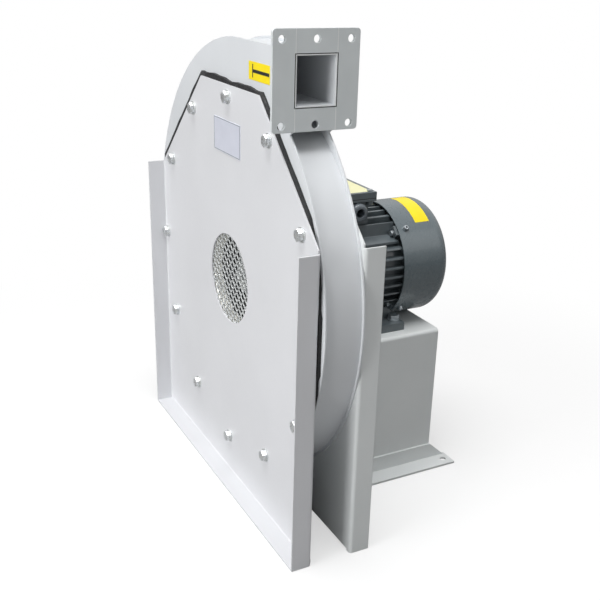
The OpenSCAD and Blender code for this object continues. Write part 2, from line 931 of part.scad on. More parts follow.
// Ring of revolution between two diameters, from y0 over a length
module ring_y(d_in, d_out, y0, l) {
    about_shaft()
        translate([d_in / 2, y0])
            square([(d_out - d_in) / 2, l]);
}

module bearing_inner_rings() {
    color("#c9ced1") {
        ring_y(seat_d + 2 * seat, bearing_inner_d, bearing_front_y, bearing_w);
        ring_y(seat_d + 2 * seat, bearing_inner_d, bearing_rear_y, bearing_w);
    }
}

module front_bearing() {
    color("#b5babd")
        ring_y(bearing_inner_d + 2 * running, bearing_d, bearing_front_y, bearing_w);
}

module rear_bearing() {
    color("#b5babd")
        ring_y(bearing_inner_d + 2 * running, bearing_d, bearing_rear_y, bearing_w);
}

// Laminated core with the two end rings of the cage
module rotor_core() {
    color("#8d8f92") {
        ring_y(shaft_mid_d + 2 * seat, rotor_d, core_y, core_l);
        for (y = [core_y - ring_l, core_y + core_l])
            ring_y((rotor_d + shaft_mid_d) / 2, rotor_d - ring_l, y, ring_l);
    }
}

module stator_core() {
    color("#77797c")
        ring_y(stator_bore, core_d - 2 * seat, core_y, core_l);
}

// Rounded winding heads at both ends of the stator core
module stator_windings() {
    coil_in = stator_bore / 2 + coil_r / 2;
    coil_out = core_d / 2 - coil_r / 2;
    color("#a8572c")
        for (y0 = [core_y - coil_l, core_y + core_l])
            about_shaft() {
                translate([coil_in, y0 + coil_r]) square([coil_out - coil_in, coil_l - 2 * coil_r]);
                translate([coil_in + coil_r, y0]) square([coil_out - coil_in - 2 * coil_r, coil_l]);
                for (r = [coil_in + coil_r, coil_out - coil_r], y = [y0 + coil_r, y0 + coil_l - coil_r])
                    translate([r, y]) circle(r = coil_r, $fn = 24);
            }
}

// Radial fan on the tail of the shaft
module cooling_fan() {
    color("#2b2d30")
        difference() {
            union() {
                ring_y(shaft_tail_d + 2 * seat, fan_hub_d, fan_y, fan_w);
                ring_y(fan_hub_d - 2 * seat, fan_d * 3 / 4, fan_y, fan_blade_t);
                translate([0, 0, axis_z])
                    for (i = [0:fan_blade_n - 1])
                        rotate([0, i * 360 / fan_blade_n, 0])
                            translate([fan_hub_d / 2 - cut, fan_y, -fan_blade_t / 2])
                                cube([(fan_d - fan_hub_d) / 2 + cut, fan_w, fan_blade_t]);
            }
            bar_y(0, axis_z, shaft_tail_d + 2 * seat, fan_y - cut, fan_w + 2 * cut);
        }
}

// Section of the motor body: the tube and straight fins on all four sides, trimmed round
module frame_section() {
    difference() {
        union() {
            circle(d = body_d);
            intersection() {
                circle(d = fin_tip_d);
                union() {
                    for (i = [-side_fins:side_fins])
                        translate([0, (i + side_fin_share) * fin_pitch])
                            square([fin_tip_d, fin_t], center = true);
                    for (i = [-top_fins:top_fins - 1])
                        translate([(i + 1 / 2) * fin_pitch, 0])
                            square([fin_t, fin_tip_d], center = true);
                }
            }
        }
        circle(d = core_d);
    }
}

// Web of the foot rail on the +X side, from its pad up to the body
module foot_web_section() {
    foot_in = foot_out - foot_w;
    polygon([
        [foot_in, -shaft_h],
        [foot_in + foot_web, -shaft_h],
        [foot_in + foot_web, -shaft_h + foot_t],
        web_out_shares * body_d / 2,
        web_in_shares * body_d / 2
    ]);
}

module motor_frame() {
    foot_l = foot_b + 2 * foot_over;
    color("#4b535b")
        difference() {
            union() {
                upright(frame_y, frame_l) frame_section();
                for (side = [-1, 1])
                    scale([side, 1, 1]) {
                        translate([foot_out - foot_w, foot_y - foot_over, axis_z - shaft_h])
                            cube([foot_w, foot_l, foot_t]);
                        upright(foot_y - foot_over, cowl_y - clear - foot_y + foot_over) foot_web_section();
                        upright(frame_y, cowl_y - clear - frame_y) polygon(pocket_shares * body_d / 2);
                    }
                at_diagonals()
                    translate([body_d / 2 - frame_wall / 2, frame_back - lug_t, -lug_w / 2])
                        cube([lug_out - body_d / 2 + frame_wall / 2, lug_t, lug_w]);
                translate([-neck_w / 2, neck_y, box_floor_z - box_pad_drop])
                    cube([neck_w, neck_l, box_pad_drop]);
            }
            bar_y(0, axis_z, core_d, frame_y - cut, frame_l + 2 * cut);
            at_feet(axis_z - shaft_h - cut) cylinder(d = foot_hole_d, h = foot_t + 2 * cut);
            translate([-neck_w / 2 - clear, neck_y - clear, box_floor_z])
                cube([neck_w + 2 * clear, neck_l + 2 * clear, fin_h]);
            at_diagonals()
                bar_y(screw_place_r, 0, screw_d + 2 * seat, frame_back - lug_t - cut, lug_t + 2 * cut);
            at_diagonals()
                bar_y(screw_place_r, 0, screw_head_d + 2 * clear, frame_back - lug_t - head_room, head_room);
        }
}

// Drive end shield: spigot flange, bearing seat and a collar round the shaft
module drive_end_shield() {
    lip = seat_d / 2 + clear;
    color("#454d55")
        about_shaft()
            polygon([
                [lip, shield_y],
                [bearing_d / 2 + frame_wall, shield_y],
                [body_d / 2, shield_y + shield_t / 2],
                [body_d / 2, shield_y + shield_t],
                [bearing_d / 2 + frame_wall / 2, shield_y + shield_t],
                [bearing_d / 2 + frame_wall / 2, bearing_front_y + bearing_w],
                [bearing_d / 2 + seat, bearing_front_y + bearing_w],
                [bearing_d / 2 + seat, bearing_front_y],
                [lip, bearing_front_y]
            ]);
}

// Rear end shield with the lugs that the fan cowl is screwed to
module rear_end_shield() {
    lip = seat_d / 2 + clear;
    back = frame_back + rear_shield_t;
    color("#454d55")
        difference() {
            union() {
                about_shaft()
                    polygon([
                        [lip, back],
                        [bearing_d / 2 + frame_wall, back],
                        [body_d / 2, back - rear_shield_t / 2],
                        [body_d / 2, frame_back],
                        [bearing_d / 2 + frame_wall / 2, frame_back],
                        [bearing_d / 2 + frame_wall / 2, bearing_rear_y],
                        [bearing_d / 2 + seat, bearing_rear_y],
                        [bearing_d / 2 + seat, bearing_rear_y + bearing_w],
                        [lip, bearing_rear_y + bearing_w]
                    ]);
                at_diagonals()
                    translate([body_d / 2 - 2 * frame_wall, back - rear_shield_t, -lug_w / 2])
                        cube([lug_out - body_d / 2 + 2 * frame_wall, rear_shield_t, lug_w]);
            }
            at_diagonals()
                translate([body_d / 2 - frame_wall, cowl_lug_y, 0])
                    rotate([0, 90, 0]) cylinder(d = screw_d + 2 * seat, h = frame_wall * 3);
            at_diagonals()
                bar_y(screw_place_r, 0, screw_d + 2 * seat, frame_back - cut, screw_sink + cut);
        }
}

// Screws that hold the rear shield, with their heads in front of the frame's lugs
module shield_screws() {
    color("#6b7178")
        at_diagonals() {
            bar_y(screw_place_r, 0, screw_head_d, frame_back - lug_t - screw_head_h, screw_head_h);
            bar_y(screw_place_r, 0, screw_d, frame_back - lug_t, lug_t + screw_sink - clear);
        }
}

// Deep drawn cowl with rings of slots in its rear face
module fan_cowl() {
    out_r = cowl_d / 2;
    in_r = out_r - cowl_t;
    back = cowl_y + cowl_l;
    color("#5a636c")
        difference() {
            about_shaft() {
                translate([in_r, cowl_y]) square([cowl_t, cowl_l - cowl_round]);
                translate([0, back - cowl_t]) square([out_r - cowl_round, cowl_t]);
                intersection() {
                    translate([out_r - cowl_round, back - cowl_round]) square(cowl_round);
                    translate([out_r - cowl_round, back - cowl_round])
                        difference() {
                            circle(r = cowl_round);
                            circle(r = cowl_round - cowl_t);
                        }
                }
            }
            translate([0, 0, axis_z])
                for (ring = [0:slot_rings - 1], i = [0:slot_n - 1])
                    rotate([0, i * 360 / slot_n + ring * 180 / slot_n, 0])
                        translate([0, back - 2 * cowl_t, 0])
                            rotate([-90, 0, 0])
                                rotate_extrude(angle = slot_angle)
                                    translate([slot_first_r + ring * slot_pitch, 0])
                                        square([slot_w, 3 * cowl_t]);
            at_diagonals()
                translate([in_r - cut, cowl_lug_y, 0])
                    rotate([0, 90, 0]) cylinder(d = screw_d + 2 * seat, h = cowl_t + 2 * cut);
        }
}

module cowl_screws() {
    color("#7d838a")
        at_diagonals() {
            translate([body_d / 2, cowl_lug_y, 0])
                rotate([0, 90, 0]) cylinder(d = screw_d, h = (cowl_d - body_d) / 2 + seat);
            translate([cowl_d / 2 + seat, cowl_lug_y, 0])
                rotate([0, 90, 0]) cylinder(d = screw_head_d, h = screw_head_h);
        }
}

// Cast box: a hollow neck and a rim with a screw post under each corner
module terminal_box_base() {
    color("#454d55")
        difference() {
            union() {
                translate([-neck_w / 2, neck_y, box_floor_z])
                    cube([neck_w, neck_l, rim_z - box_floor_z]);
                translate([-box_w / 2, box_y, rim_z])
                    cube([box_w, box_l, box_rim_t]);
                at_lid_screws(rim_z - post_l) cylinder(d = post_w, h = post_l);
            }
            translate([-neck_w / 2 + box_wall, neck_y + box_wall, box_floor_z + box_wall])
                cube([neck_w - 2 * box_wall, neck_l - 2 * box_wall, box_h]);
            at_lid_screws(rim_z - post_l - cut) cylinder(d = screw_d + 2 * seat, h = post_l + box_rim_t + 2 * cut);
            for (y = [plug_place, gland_place])
                translate([neck_w / 2 - box_wall - cut, box_y + y, box_floor_z + gland_up])
                    rotate([0, 90, 0]) cylinder(d = gland_d * 3 / 4, h = box_wall + 2 * cut);
        }
}

// Repeats its children at the four screws of the terminal box lid, at a height
module at_lid_screws(z) {
    for (side = [-1, 1], y = [post_w / 2 + box_wall / 2, box_l - post_w / 2 - box_wall / 2])
        translate([side * (box_w - post_w - box_wall) / 2, box_y + y, z]) children();
}

module lid_gasket() {
    color("#222326")
        difference() {
            translate([-box_w / 2, box_y, box_top_z])
                cube([box_w, box_l, gasket_h]);
            translate([-box_w / 2 + post_w, box_y + post_w, box_top_z - cut])
                cube([box_w - 2 * post_w, box_l - 2 * post_w, gasket_h + 2 * cut]);
            at_lid_screws(box_top_z - cut) cylinder(d = screw_d + 2 * seat, h = gasket_h + 2 * cut);
        }
}

// Cast lid, hollow underneath
module terminal_box_lid() {
    low = box_top_z + gasket_h;
    color("#525a62")
        difference() {
            translate([-box_w / 2, box_y, low])
                cube([box_w, box_l, lid_h]);
            translate([-box_w / 2 + post_w, box_y + post_w, low - cut])
                cube([box_w - 2 * post_w, box_l - 2 * post_w, lid_h - lid_wall + cut]);
            at_lid_screws(low - cut) cylinder(d = screw_d + 2 * seat, h = lid_h + 2 * cut);
        }
}

module lid_screws() {
    screw_l = lid_top_z - rim_z + post_l / 2;
    color("#b4b8bb")
        at_lid_screws(lid_top_z) {
            cylinder(d = screw_head_d, h = screw_head_h / 2);
            translate([0, 0, -screw_l]) cylinder(d = screw_d, h = screw_l);
        }
}

// Terminal block with its six pins
module terminal_board() {
    color("#3a2c24") {
        translate([-board_w / 2, box_y + (box_l - board_l) / 2, box_floor_z + box_wall])
            cube([board_w, board_l, board_t]);
        for (i = [-1:1], row = [-1, 1])
            translate([i * board_w / 3, box_y + box_l / 2 + row * board_l / 4, box_floor_z + box_wall + board_t])
                cylinder(d = pin_d, h = pin_h, $fn = 24);
    }
}

// Gland body with a hexagonal collar, a domed nut and the cable's bore
module cable_gland() {
    gland_l = 2 * gland_collar_l + gland_nose_l;
    color("#4a4f55")
        translate([neck_w / 2, box_y + gland_place, box_floor_z + gland_up])
            rotate([0, 90, 0])
                difference() {
                    union() {
                        translate([0, 0, -box_wall])
                            cylinder(d = gland_d * 3 / 4 - 2 * seat, h = box_wall + gland_collar_l);
                        cylinder(d = gland_d, h = gland_collar_l, $fn = 6);
                        translate([0, 0, gland_collar_l]) cylinder(d = gland_d, h = gland_collar_l);
                        translate([0, 0, 2 * gland_collar_l])
                            cylinder(d1 = gland_d, d2 = gland_nose_d, h = gland_nose_l);
                    }
                    translate([0, 0, -box_wall - cut])
                        cylinder(d = gland_bore_d, h = box_wall + gland_l + 2 * cut);
                }
}

module blanking_plug() {
    color("#33363a")
        translate([neck_w / 2, box_y + plug_place, box_floor_z + gland_up])
            rotate([0, 90, 0]) {
                translate([0, 0, -box_wall])
                    cylinder(d = gland_d * 3 / 4 - 2 * seat, h = box_wall + clear);
                cylinder(d = gland_d, h = gland_collar_l / 2);
            }
}

module foot_washers() {
    color("#c2c6c8")
        at_feet(stool_h + foot_t)
            difference() {
                cylinder(d = foot_washer_d, h = washer_t);
                translate([0, 0, -cut]) cylinder(d = bolt_d + bolt_play, h = washer_t + 2 * cut);
            }
}

module foot_bolts() {
    color("#c9cccf")
        at_feet(stool_h + foot_t + washer_t) {
            cylinder(d = bolt_af / cos(30), h = bolt_head_h, $fn = 6);
            translate([0, 0, -foot_bolt_l]) cylinder(d = bolt_d, h = foot_bolt_l);
        }
}

module foot_nuts() {
    color("#c2c6c8")
        at_feet(stool_h - stool_t - foot_nut_h)
            difference() {
                cylinder(d = bolt_af / cos(30), h = foot_nut_h, $fn = 6);
                translate([0, 0, -cut]) cylinder(d = bolt_d + 2 * seat, h = foot_nut_h + 2 * cut);
            }
}

// Folded stool: top and side walls in one sheet, with return flanges at the rear
module stool() {
    color("#bcc1c1")
        difference() {
            union() {
                for (side = [-1, 1])
                    scale([side, 1, 1]) {
                        upright(rear_panel_back, stool_l)
                            translate([stool_w / 2, stool_h - axis_z])
                                scale([-1, -1])
                                    bent_section(stool_w / 2 + cut, stool_h - stool_lift, stool_t, bend_r);
                        translate([stool_w / 2 - stool_return, stool_back - stool_t, stool_lift])
                            cube([stool_return, stool_t, stool_h - 2 * stool_bend - stool_lift]);
                    }
            }
            at_feet(stool_h - stool_t - cut) cylinder(d = foot_hole_d, h = stool_t + 2 * cut);
        }
}

// Foot angle on the +X side: the upright leg against the stool, the flat leg on the floor
module foot_angle() {
    leg_back = stool_back;
    difference() {
        union() {
            translate([stool_w / 2, angle_y, 0])
                cube([angle_leg, angle_back - angle_y, angle_t]);
            translate([stool_w / 2 + angle_t, 0, 0])
                rotate([90, 0, -90])
                    linear_extrude(angle_t)
                        polygon([
                            [-angle_y, 0],
                            [-angle_y, angle_high],
                            [-leg_back, angle_high],
                            [-angle_back + angle_tip, angle_t],
                            [-angle_back + angle_tip, 0]
                        ]);
        }
        for (y = [angle_y + floor_hole_front, angle_back - floor_hole_in])
            translate([stool_w / 2 + angle_leg - floor_hole_out, y, -cut])
                cylinder(d = floor_hole_d, h = angle_t + 2 * cut);
    }
}

module foot_angle_right() {
    color("#c4c8c8") foot_angle();
}

module foot_angle_left() {
    color("#c4c8c8")
        scale([-1, 1, 1]) foot_angle();
}

place() front_panel();
place() panel_gasket();
place() panel_bolts();
place() panel_washers();
place() panel_rivet_nuts();
place() inlet_mesh();
place() inlet_nozzle();
place() nameplate();
place() scroll_front_cheek();
place() scroll_wrap();
place() scroll_rear_cheek();
place() outlet_strip_left();
place() outlet_strip_right();
place() outlet_strip_top();
place() outlet_strip_bottom();
place() rear_panel();
place() seal_plate();
place() shaft_seal();
place() impeller_back_plate();
place() impeller_front_shroud();
place() impeller_blades();
place() impeller_hub();
place() hub_rivets();
place() hub_washer();
place() hub_bolt();
place() motor_shaft();
place() shaft_key();
place() bearing_inner_rings();
place() rotor_core();
place() cooling_fan();
place() front_bearing();
place() rear_bearing();
place() stator_core();
place() stator_windings();
place() motor_frame();
place() drive_end_shield();
place() rear_end_shield();
place() shield_screws();
place() fan_cowl();
place() cowl_screws();
place() terminal_box_base();
place() lid_gasket();
place() terminal_box_lid();
place() lid_screws();
place() terminal_board();
place() cable_gland();
place() blanking_plug();
place() foot_bolts();
place() foot_washers();
place() foot_nuts();
place() stool();
place() foot_angle_left();
place() foot_angle_right();
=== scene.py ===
"""Looks of an industrial centrifugal blower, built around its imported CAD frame.

Lengths in the dataclasses are millimetres; MM turns them into scene metres.
The frame's X axis points to the outlet, Y from the inlet panel to the motor, Z up.
"""

from __future__ import annotations

import json
import logging
import math
from dataclasses import dataclass
from typing import Any, ClassVar

import bmesh
import bpy
from mathutils import Matrix, Vector

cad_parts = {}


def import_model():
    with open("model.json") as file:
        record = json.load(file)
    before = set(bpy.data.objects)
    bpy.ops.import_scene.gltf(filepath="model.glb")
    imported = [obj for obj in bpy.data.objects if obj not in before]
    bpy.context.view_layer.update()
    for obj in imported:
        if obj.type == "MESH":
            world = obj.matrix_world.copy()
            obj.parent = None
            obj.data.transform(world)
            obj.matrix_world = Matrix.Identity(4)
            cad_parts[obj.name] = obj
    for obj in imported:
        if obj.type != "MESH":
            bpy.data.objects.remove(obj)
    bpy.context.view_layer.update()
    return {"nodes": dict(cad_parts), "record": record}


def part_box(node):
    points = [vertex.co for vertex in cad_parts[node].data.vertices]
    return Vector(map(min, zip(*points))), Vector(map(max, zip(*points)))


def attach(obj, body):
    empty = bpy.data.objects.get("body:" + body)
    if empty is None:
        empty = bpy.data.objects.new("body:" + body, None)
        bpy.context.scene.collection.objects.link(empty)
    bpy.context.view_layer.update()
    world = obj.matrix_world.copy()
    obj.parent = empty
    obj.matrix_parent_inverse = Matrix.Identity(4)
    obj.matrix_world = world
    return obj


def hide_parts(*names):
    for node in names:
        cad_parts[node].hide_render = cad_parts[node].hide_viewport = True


LOG = logging.getLogger("blower")
MM = 0.001
TURN = 2.0 * math.pi
MERGE_DISTANCE = 1e-6

# Sockets of the Mix node in its colour mode
MIX_FACTOR, MIX_A, MIX_B, MIX_RESULT = 0, 6, 7, 2
# Detail and roughness of the noise, and the parts of its range that tone and gloss use
NOISE_DETAIL, NOISE_ROUGHNESS = 2.0, 0.55
TONE_RANGE, GLOSS_RANGE = (0.35, 0.65), (0.3, 0.7)
# Size of the gloss patches, in sizes of the grain
GLOSS_PATCH = 4.0
COAT_ROUGHNESS = 0.12
EDGE_SAMPLES = 6
MATH, VECTOR_MATH = "ShaderNodeMath", "ShaderNodeVectorMath"
WHITE = (1.0, 1.0, 1.0, 1.0)
# Largest angle between faces that are shaded as one, and between faces that count as flat
SMOOTH_ANGLE, FLAT_ANGLE = math.radians(40.0), math.radians(1.0)
# Steps of a rounded corner and of a chamfer
CORNER_STEPS, CHAMFER_STEPS = 4, 2
# Shares of a screw head's height or diameter
CHAMFER_SHARE, SHOULDER_SHARE = 0.22, 0.55
CROWN_SHARE, DRIVE_RIM_SHARE, DRIVE_DEPTH_SHARE = 0.34, 0.12, 0.5

Tree = bpy.types.NodeTree
Socket = bpy.types.NodeSocket
BMesh = bmesh.types.BMesh


def linear(code: str) -> tuple[float, float, float, float]:
    """Turn an sRGB hex colour such as "#d8dcdd" into linear red, green, blue and full alpha."""
    shares = [int(code[i:i + 2], 16) / 255.0 for i in (1, 3, 5)]
    low_end, slope, offset, gain, power = 0.04045, 12.92, 0.055, 1.055, 2.4
    lit = [s / slope if s <= low_end else ((s + offset) / gain) ** power for s in shares]
    return lit[0], lit[1], lit[2], 1.0


def add_node(
    tree: Tree,
    kind: str,
    settings: dict[str, Any] | None = None,
    inputs: dict[str | int, Any] | None = None,
) -> bpy.types.Node:
    """Add a shader node with its settings and its input values or links.

    Args:
        tree: Node tree that gets the node.
        kind: Blender's identifier of the node.
        settings: Attributes of the node.
        inputs: Socket name or index to a value or to the socket linked to it.

    Returns:
        The new node.
    """
    node = tree.nodes.new(kind)
    for name, value in (settings or {}).items():
        setattr(node, name, value)
    for key, value in (inputs or {}).items():
        if isinstance(value, Socket):
            tree.links.new(value, node.inputs[key])
        else:
            node.inputs[key].default_value = value
    return node


def operate(tree: Tree, kind: str, operation: str, *values: Any) -> bpy.types.Node:
    """Add a node that calculates with values or sockets."""
    return add_node(tree, kind, {"operation": operation}, dict(enumerate(values)))


def ranged(tree: Tree, value: Socket, start: tuple[float, float], end: tuple[Any, Any],
           curve: str = "LINEAR") -> Socket:
    """Carry a value over from one range to another.

    Args:
        tree: Node tree.
        value: Socket of the value.
        start: Ends of the range that it comes from.
        end: Ends of the range that it goes to, numbers or sockets.
        curve: Blender's identifier of the way between them.

    Returns:
        The new value's socket.
    """
    return add_node(tree, "ShaderNodeMapRange", {"interpolation_type": curve}, {
        "Value": value, "From Min": start[0], "From Max": start[1], "To Min": end[0], "To Max": end[1],
    }).outputs["Result"]


def blank_tree(owner: bpy.types.Material | bpy.types.World) -> Tree:
    """Give the empty node tree of a material or a world."""
    owner.use_nodes = True
    owner.node_tree.nodes.clear()
    return owner.node_tree


def new_object(name: str, data: bpy.types.ID) -> bpy.types.Object:
    """Make an object and put it in the scene."""
    made = bpy.data.objects.new(name, data)
    bpy.context.scene.collection.objects.link(made)
    return made


def mesh_object(name: str, bm: BMesh) -> bpy.types.Object:
    """Turn a bmesh into an object of the scene, and free it."""
    mesh = bpy.data.meshes.new(name)
    bm.to_mesh(mesh)
    bm.free()
    return new_object(name, mesh)


def shape_of(piece: bpy.types.Object) -> BMesh:
    """Give a copy of a mesh object's shape."""
    bm = bmesh.new()
    bm.from_mesh(piece.data)
    bmesh.ops.remove_doubles(bm, verts=bm.verts, dist=MERGE_DISTANCE)
    return bm


@dataclass(frozen=True)
class Finish:
    """A surface finish that varies in tone, gloss and relief.

    Attributes:
        name: Material name.
        colour: Main sRGB hex colour.
        tint: Colour of the patches.
        slot: Material slot of the record that stands for it; not used.
        patch: Size of the colour patches.
        blend: How far the patches reach towards the tint.
        metallic: Metallic share.
        gloss: Lowest and highest roughness.
        turned: Whether the fine relief runs round the shaft.
        grain_size: Size of the fine relief.
        relief: Depth of the fine relief.
        coat: Weight of a clear top layer.
        edge: Radius that edges have under the finish.
    """

    name: str
    colour: str
    tint: str
    slot: str
    patch: float = 60.0
    blend: float = 0.6
    metallic: float = 0.0
    gloss: tuple[float, float] = (0.35, 0.45)
    turned: bool = False
    grain_size: float = 1.4
    relief: float = 0.004
    coat: float = 0.0
    edge: float = 0.6

    def build(self, shaft: Vector) -> bpy.types.Material:
        """Make the material.

        Args:
            shaft: A point on the shaft line, in metres.

        Returns:
            The node material.
        """
        material = bpy.data.materials.new(self.name)
        tree = blank_tree(material)
        place = self.place(tree, shaft)
        shader = add_node(tree, "ShaderNodeBsdfPrincipled", inputs={
            "Base Color": self.colour_socket(tree, place),
            "Metallic": self.metallic,
            "Roughness": self.gloss_socket(tree, place),
            "Normal": self.relief_socket(tree, place),
            "Coat Weight": self.coat,
            "Coat Roughness": COAT_ROUGHNESS,
        })
        add_node(tree, "ShaderNodeOutputMaterial", inputs={"Surface": shader.outputs["BSDF"]})
        material.diffuse_color = linear(self.colour)
        material.metallic = self.metallic
        material.roughness = sum(self.gloss) / 2
        return material

    def place(self, tree: Tree, shaft: Vector) -> Socket:
        """Give the coordinates of the grain: straight ones, or radius and place along the shaft."""
        place = add_node(tree, "ShaderNodeTexCoord").outputs["Object"]
        if not self.turned:
            return place
        from_shaft = operate(tree, VECTOR_MATH, "SUBTRACT", place, tuple(shaft)).outputs["Vector"]
        across = operate(tree, VECTOR_MATH, "MULTIPLY", from_shaft, (1.0, 0.0, 1.0)).outputs["Vector"]
        radius = operate(tree, VECTOR_MATH, "LENGTH", across).outputs["Value"]
        along = add_node(tree, "ShaderNodeSeparateXYZ", inputs={0: from_shaft}).outputs["Y"]
        return add_node(tree, "ShaderNodeCombineXYZ", inputs={"X": radius, "Y": along}).outputs["Vector"]

    def noise(self, tree: Tree, place: Socket, size: float) -> Socket:
        """Give noise whose features are about one size."""
        return add_node(tree, "ShaderNodeTexNoise", inputs={
            "Vector": place, "Scale": 1.0 / (size * MM),
            "Detail": NOISE_DETAIL, "Roughness": NOISE_ROUGHNESS,
        }).outputs[0]

    def colour_socket(self, tree: Tree, place: Socket) -> Socket:
        """Mix the main colour and the tint in soft patches."""
        share = ranged(tree, self.noise(tree, place, self.patch), TONE_RANGE, (0.0, self.blend))
        return add_node(tree, "ShaderNodeMix", {"data_type": "RGBA"}, {
            MIX_FACTOR: share, MIX_A: linear(self.colour), MIX_B: linear(self.tint),
        }).outputs[MIX_RESULT]

    def gloss_socket(self, tree: Tree, place: Socket) -> Socket:
        """Vary the roughness between its two ends."""
        return ranged(tree, self.noise(tree, place, self.grain_size * GLOSS_PATCH), GLOSS_RANGE, self.gloss)

    def height_socket(self, tree: Tree, place: Socket) -> Socket:
        """Give the fine pattern of the relief."""
        return self.noise(tree, place, self.grain_size)

    def relief_socket(self, tree: Tree, place: Socket) -> Socket:
        """Raise the fine pattern over edges that are rounded as by paint, plating and handling."""
        rounded = add_node(tree, "ShaderNodeBevel", {"samples": EDGE_SAMPLES}, {"Radius": self.edge * MM})
        return add_node(tree, "ShaderNodeBump", inputs={
            "Height": self.height_socket(tree, place), "Distance": self.relief * MM, "Strength": 1.0,
            "Normal": rounded.outputs["Normal"],
        }).outputs["Normal"]


@dataclass(frozen=True)
class StackedSheets(Finish):
    """Steel core of stacked sheets, seen as fine lines across the shaft.

    Attributes:
        sheet: Thickness of one drawn sheet. Real ones are 0.5 mm, too fine to show.
    """

    sheet: float = 2.0

    def height_socket(self, tree: Tree, place: Socket) -> Socket:
        """Give a wave with one crest to each sheet."""
        along = add_node(tree, "ShaderNodeSeparateXYZ", inputs={0: place}).outputs["Y"]
        phase = operate(tree, MATH, "MULTIPLY", along, TURN / (self.sheet * MM)).outputs[0]
        return operate(tree, MATH, "SINE", phase).outputs[0]


# Polyester powder coat, sprayed and baked: light grey, satin, with a fine orange peel
PANEL_COAT = Finish("powder_coat_panels", "#dcdde0", "#d6d7da", "panel_paint", patch=140.0,
                    gloss=(0.34, 0.44), grain_size=1.6, relief=0.006, edge=1.0)
CASING_COAT = Finish("powder_coat_scroll", "#dcdfe2", "#d4d7da", "casing_paint", patch=120.0,
                     gloss=(0.30, 0.40), grain_size=1.6, relief=0.007, edge=0.8)
FLANGE_COAT = Finish("powder_coat_flange", "#d9dedf", "#d0d5d6", "flange_paint", patch=40.0,
                     gloss=(0.36, 0.46), grain_size=1.6, relief=0.010, edge=0.8)
# The same coat a shade lighter on the stool, the rear panel and the seal plate: painted light, for the
# light that falls on them from behind
REAR_COAT_PAINTED_LIGHT = Finish("powder_coat_rear_painted_light", "#e2e5e5", "#dadede", "stool_paint", patch=110.0,
                    gloss=(0.34, 0.44), grain_size=1.6, relief=0.007, edge=1.2)
# The same coat a shade lighter along welds and cut edges: painted highlight, where they catch the light
EDGE_HIGHLIGHT_COAT = Finish("powder_coat_edge_highlight", "#eef0f0", "#e6e9e9", "flange_paint", patch=20.0,
                   gloss=(0.30, 0.40), grain_size=1.2, relief=0.020, edge=0.4)
# Open joint between two sheets: nothing but shade and dust
JOINT_SHADE = Finish("shaded_joint", "#1d1e1f", "#2b2a29", "flange_paint", patch=8.0,
                     gloss=(0.80, 0.95), grain_size=0.8, relief=0.010, edge=0.1)
# Bright zinc plate over rolled or upset steel: pale metal with a faint blue and yellow bloom
ZINC_PLATE = Finish("bright_zinc_plate", "#dfe3e6", "#c9c9c2", "zinc_steel", patch=4.0,
                    metallic=0.8, gloss=(0.24, 0.38), grain_size=0.8, relief=0.010, edge=0.5)
# The same plate on the turned heads of small screws: duller
ZINC_SCREW = Finish("dull_zinc_screws", "#bcc2c6", "#a3a9ad", "zinc_steel", patch=3.0,
                    metallic=0.9, gloss=(0.28, 0.42), grain_size=0.6, relief=0.006, edge=0.4)
# Hot dip galvanised expanded steel: duller, with crystal patches
GALVANISED = Finish("galvanised_expanded_steel", "#e8ebeb", "#c3c7c8", "galvanised_mesh", patch=3.0,
                    metallic=0.45, gloss=(0.26, 0.40), grain_size=1.0, relief=0.010)
# Spun and rolled steel sheet: turned marks about the shaft
SPUN_SHEET = Finish("spun_steel_sheet", "#ecebe4", "#dddbd2", "wheel_steel", patch=30.0,
                    metallic=0.3, gloss=(0.24, 0.40), turned=True, grain_size=0.9, relief=0.008)
# Steel sheet of the blades and the shroud, much darker than the spun sheet: painted shade, deep inside the
# casing
BLADE_SHEET_PAINTED_SHADE = Finish("blade_sheet_painted_shade", "#4b4c4b", "#3c3d3c", "wheel_steel", patch=20.0,
                     metallic=0.4, gloss=(0.34, 0.50), grain_size=1.1, relief=0.010)
# EPDM cellular strip: black, matt, cut edges
EPDM_STRIP = Finish("epdm_strip", "#0d0d0f", "#151518", "gasket_rubber", patch=12.0,
                    gloss=(0.50, 0.75), grain_size=0.7, relief=0.020, edge=0.8)
# Needled wool felt
WOOL_FELT = Finish("pressed_felt", "#5b5750", "#6b665d", "felt", patch=4.0,
                   gloss=(0.85, 0.95), grain_size=0.5, relief=0.080)
# Anodised aluminium sheet, bare of print: pale, a little violet, satin
ANODISED = Finish("anodised_sheet", "#d9dce8", "#d2d5e1", "plate_aluminium", patch=18.0,
                  metallic=0.1, gloss=(0.30, 0.38), grain_size=0.8, relief=0.002, edge=0.3)
# Etched border of the plate: a grey line
ETCHED_LINE = Finish("etched_line", "#8d9299", "#a3a8af", "plate_aluminium", patch=6.0,
                     gloss=(0.40, 0.50), grain_size=0.6, relief=0.004, edge=0.1)
# Turned and ground steel
GROUND_STEEL = Finish("ground_steel", "#b6babd", "#a3a8ac", "machined_steel", patch=18.0,
                      metallic=1.0, gloss=(0.18, 0.30), turned=True, grain_size=0.6, relief=0.005)
CORE_SHEETS = StackedSheets("stacked_core_sheets", "#6c6e71", "#595a5d", "core_steel", patch=15.0,
                            metallic=0.8, gloss=(0.45, 0.60), relief=0.15)
# Enamelled copper wire under dipping varnish: the bundles show as ridges round the shaft
VARNISHED_COPPER = Finish("varnished_copper", "#a5572b", "#7c3b1a", "copper_winding", patch=5.0,
                          metallic=0.6, gloss=(0.25, 0.40), turned=True, grain_size=1.6,
                          relief=0.35, coat=0.4)
# Alkyd enamel over a pressure cast aluminium body: dark blue grey, slightly pebbled
CAST_ENAMEL = Finish("enamelled_casting", "#5d666a", "#50585c", "motor_paint", patch=22.0,
                     gloss=(0.30, 0.42), grain_size=2.2, relief=0.030, coat=0.5, edge=1.0)
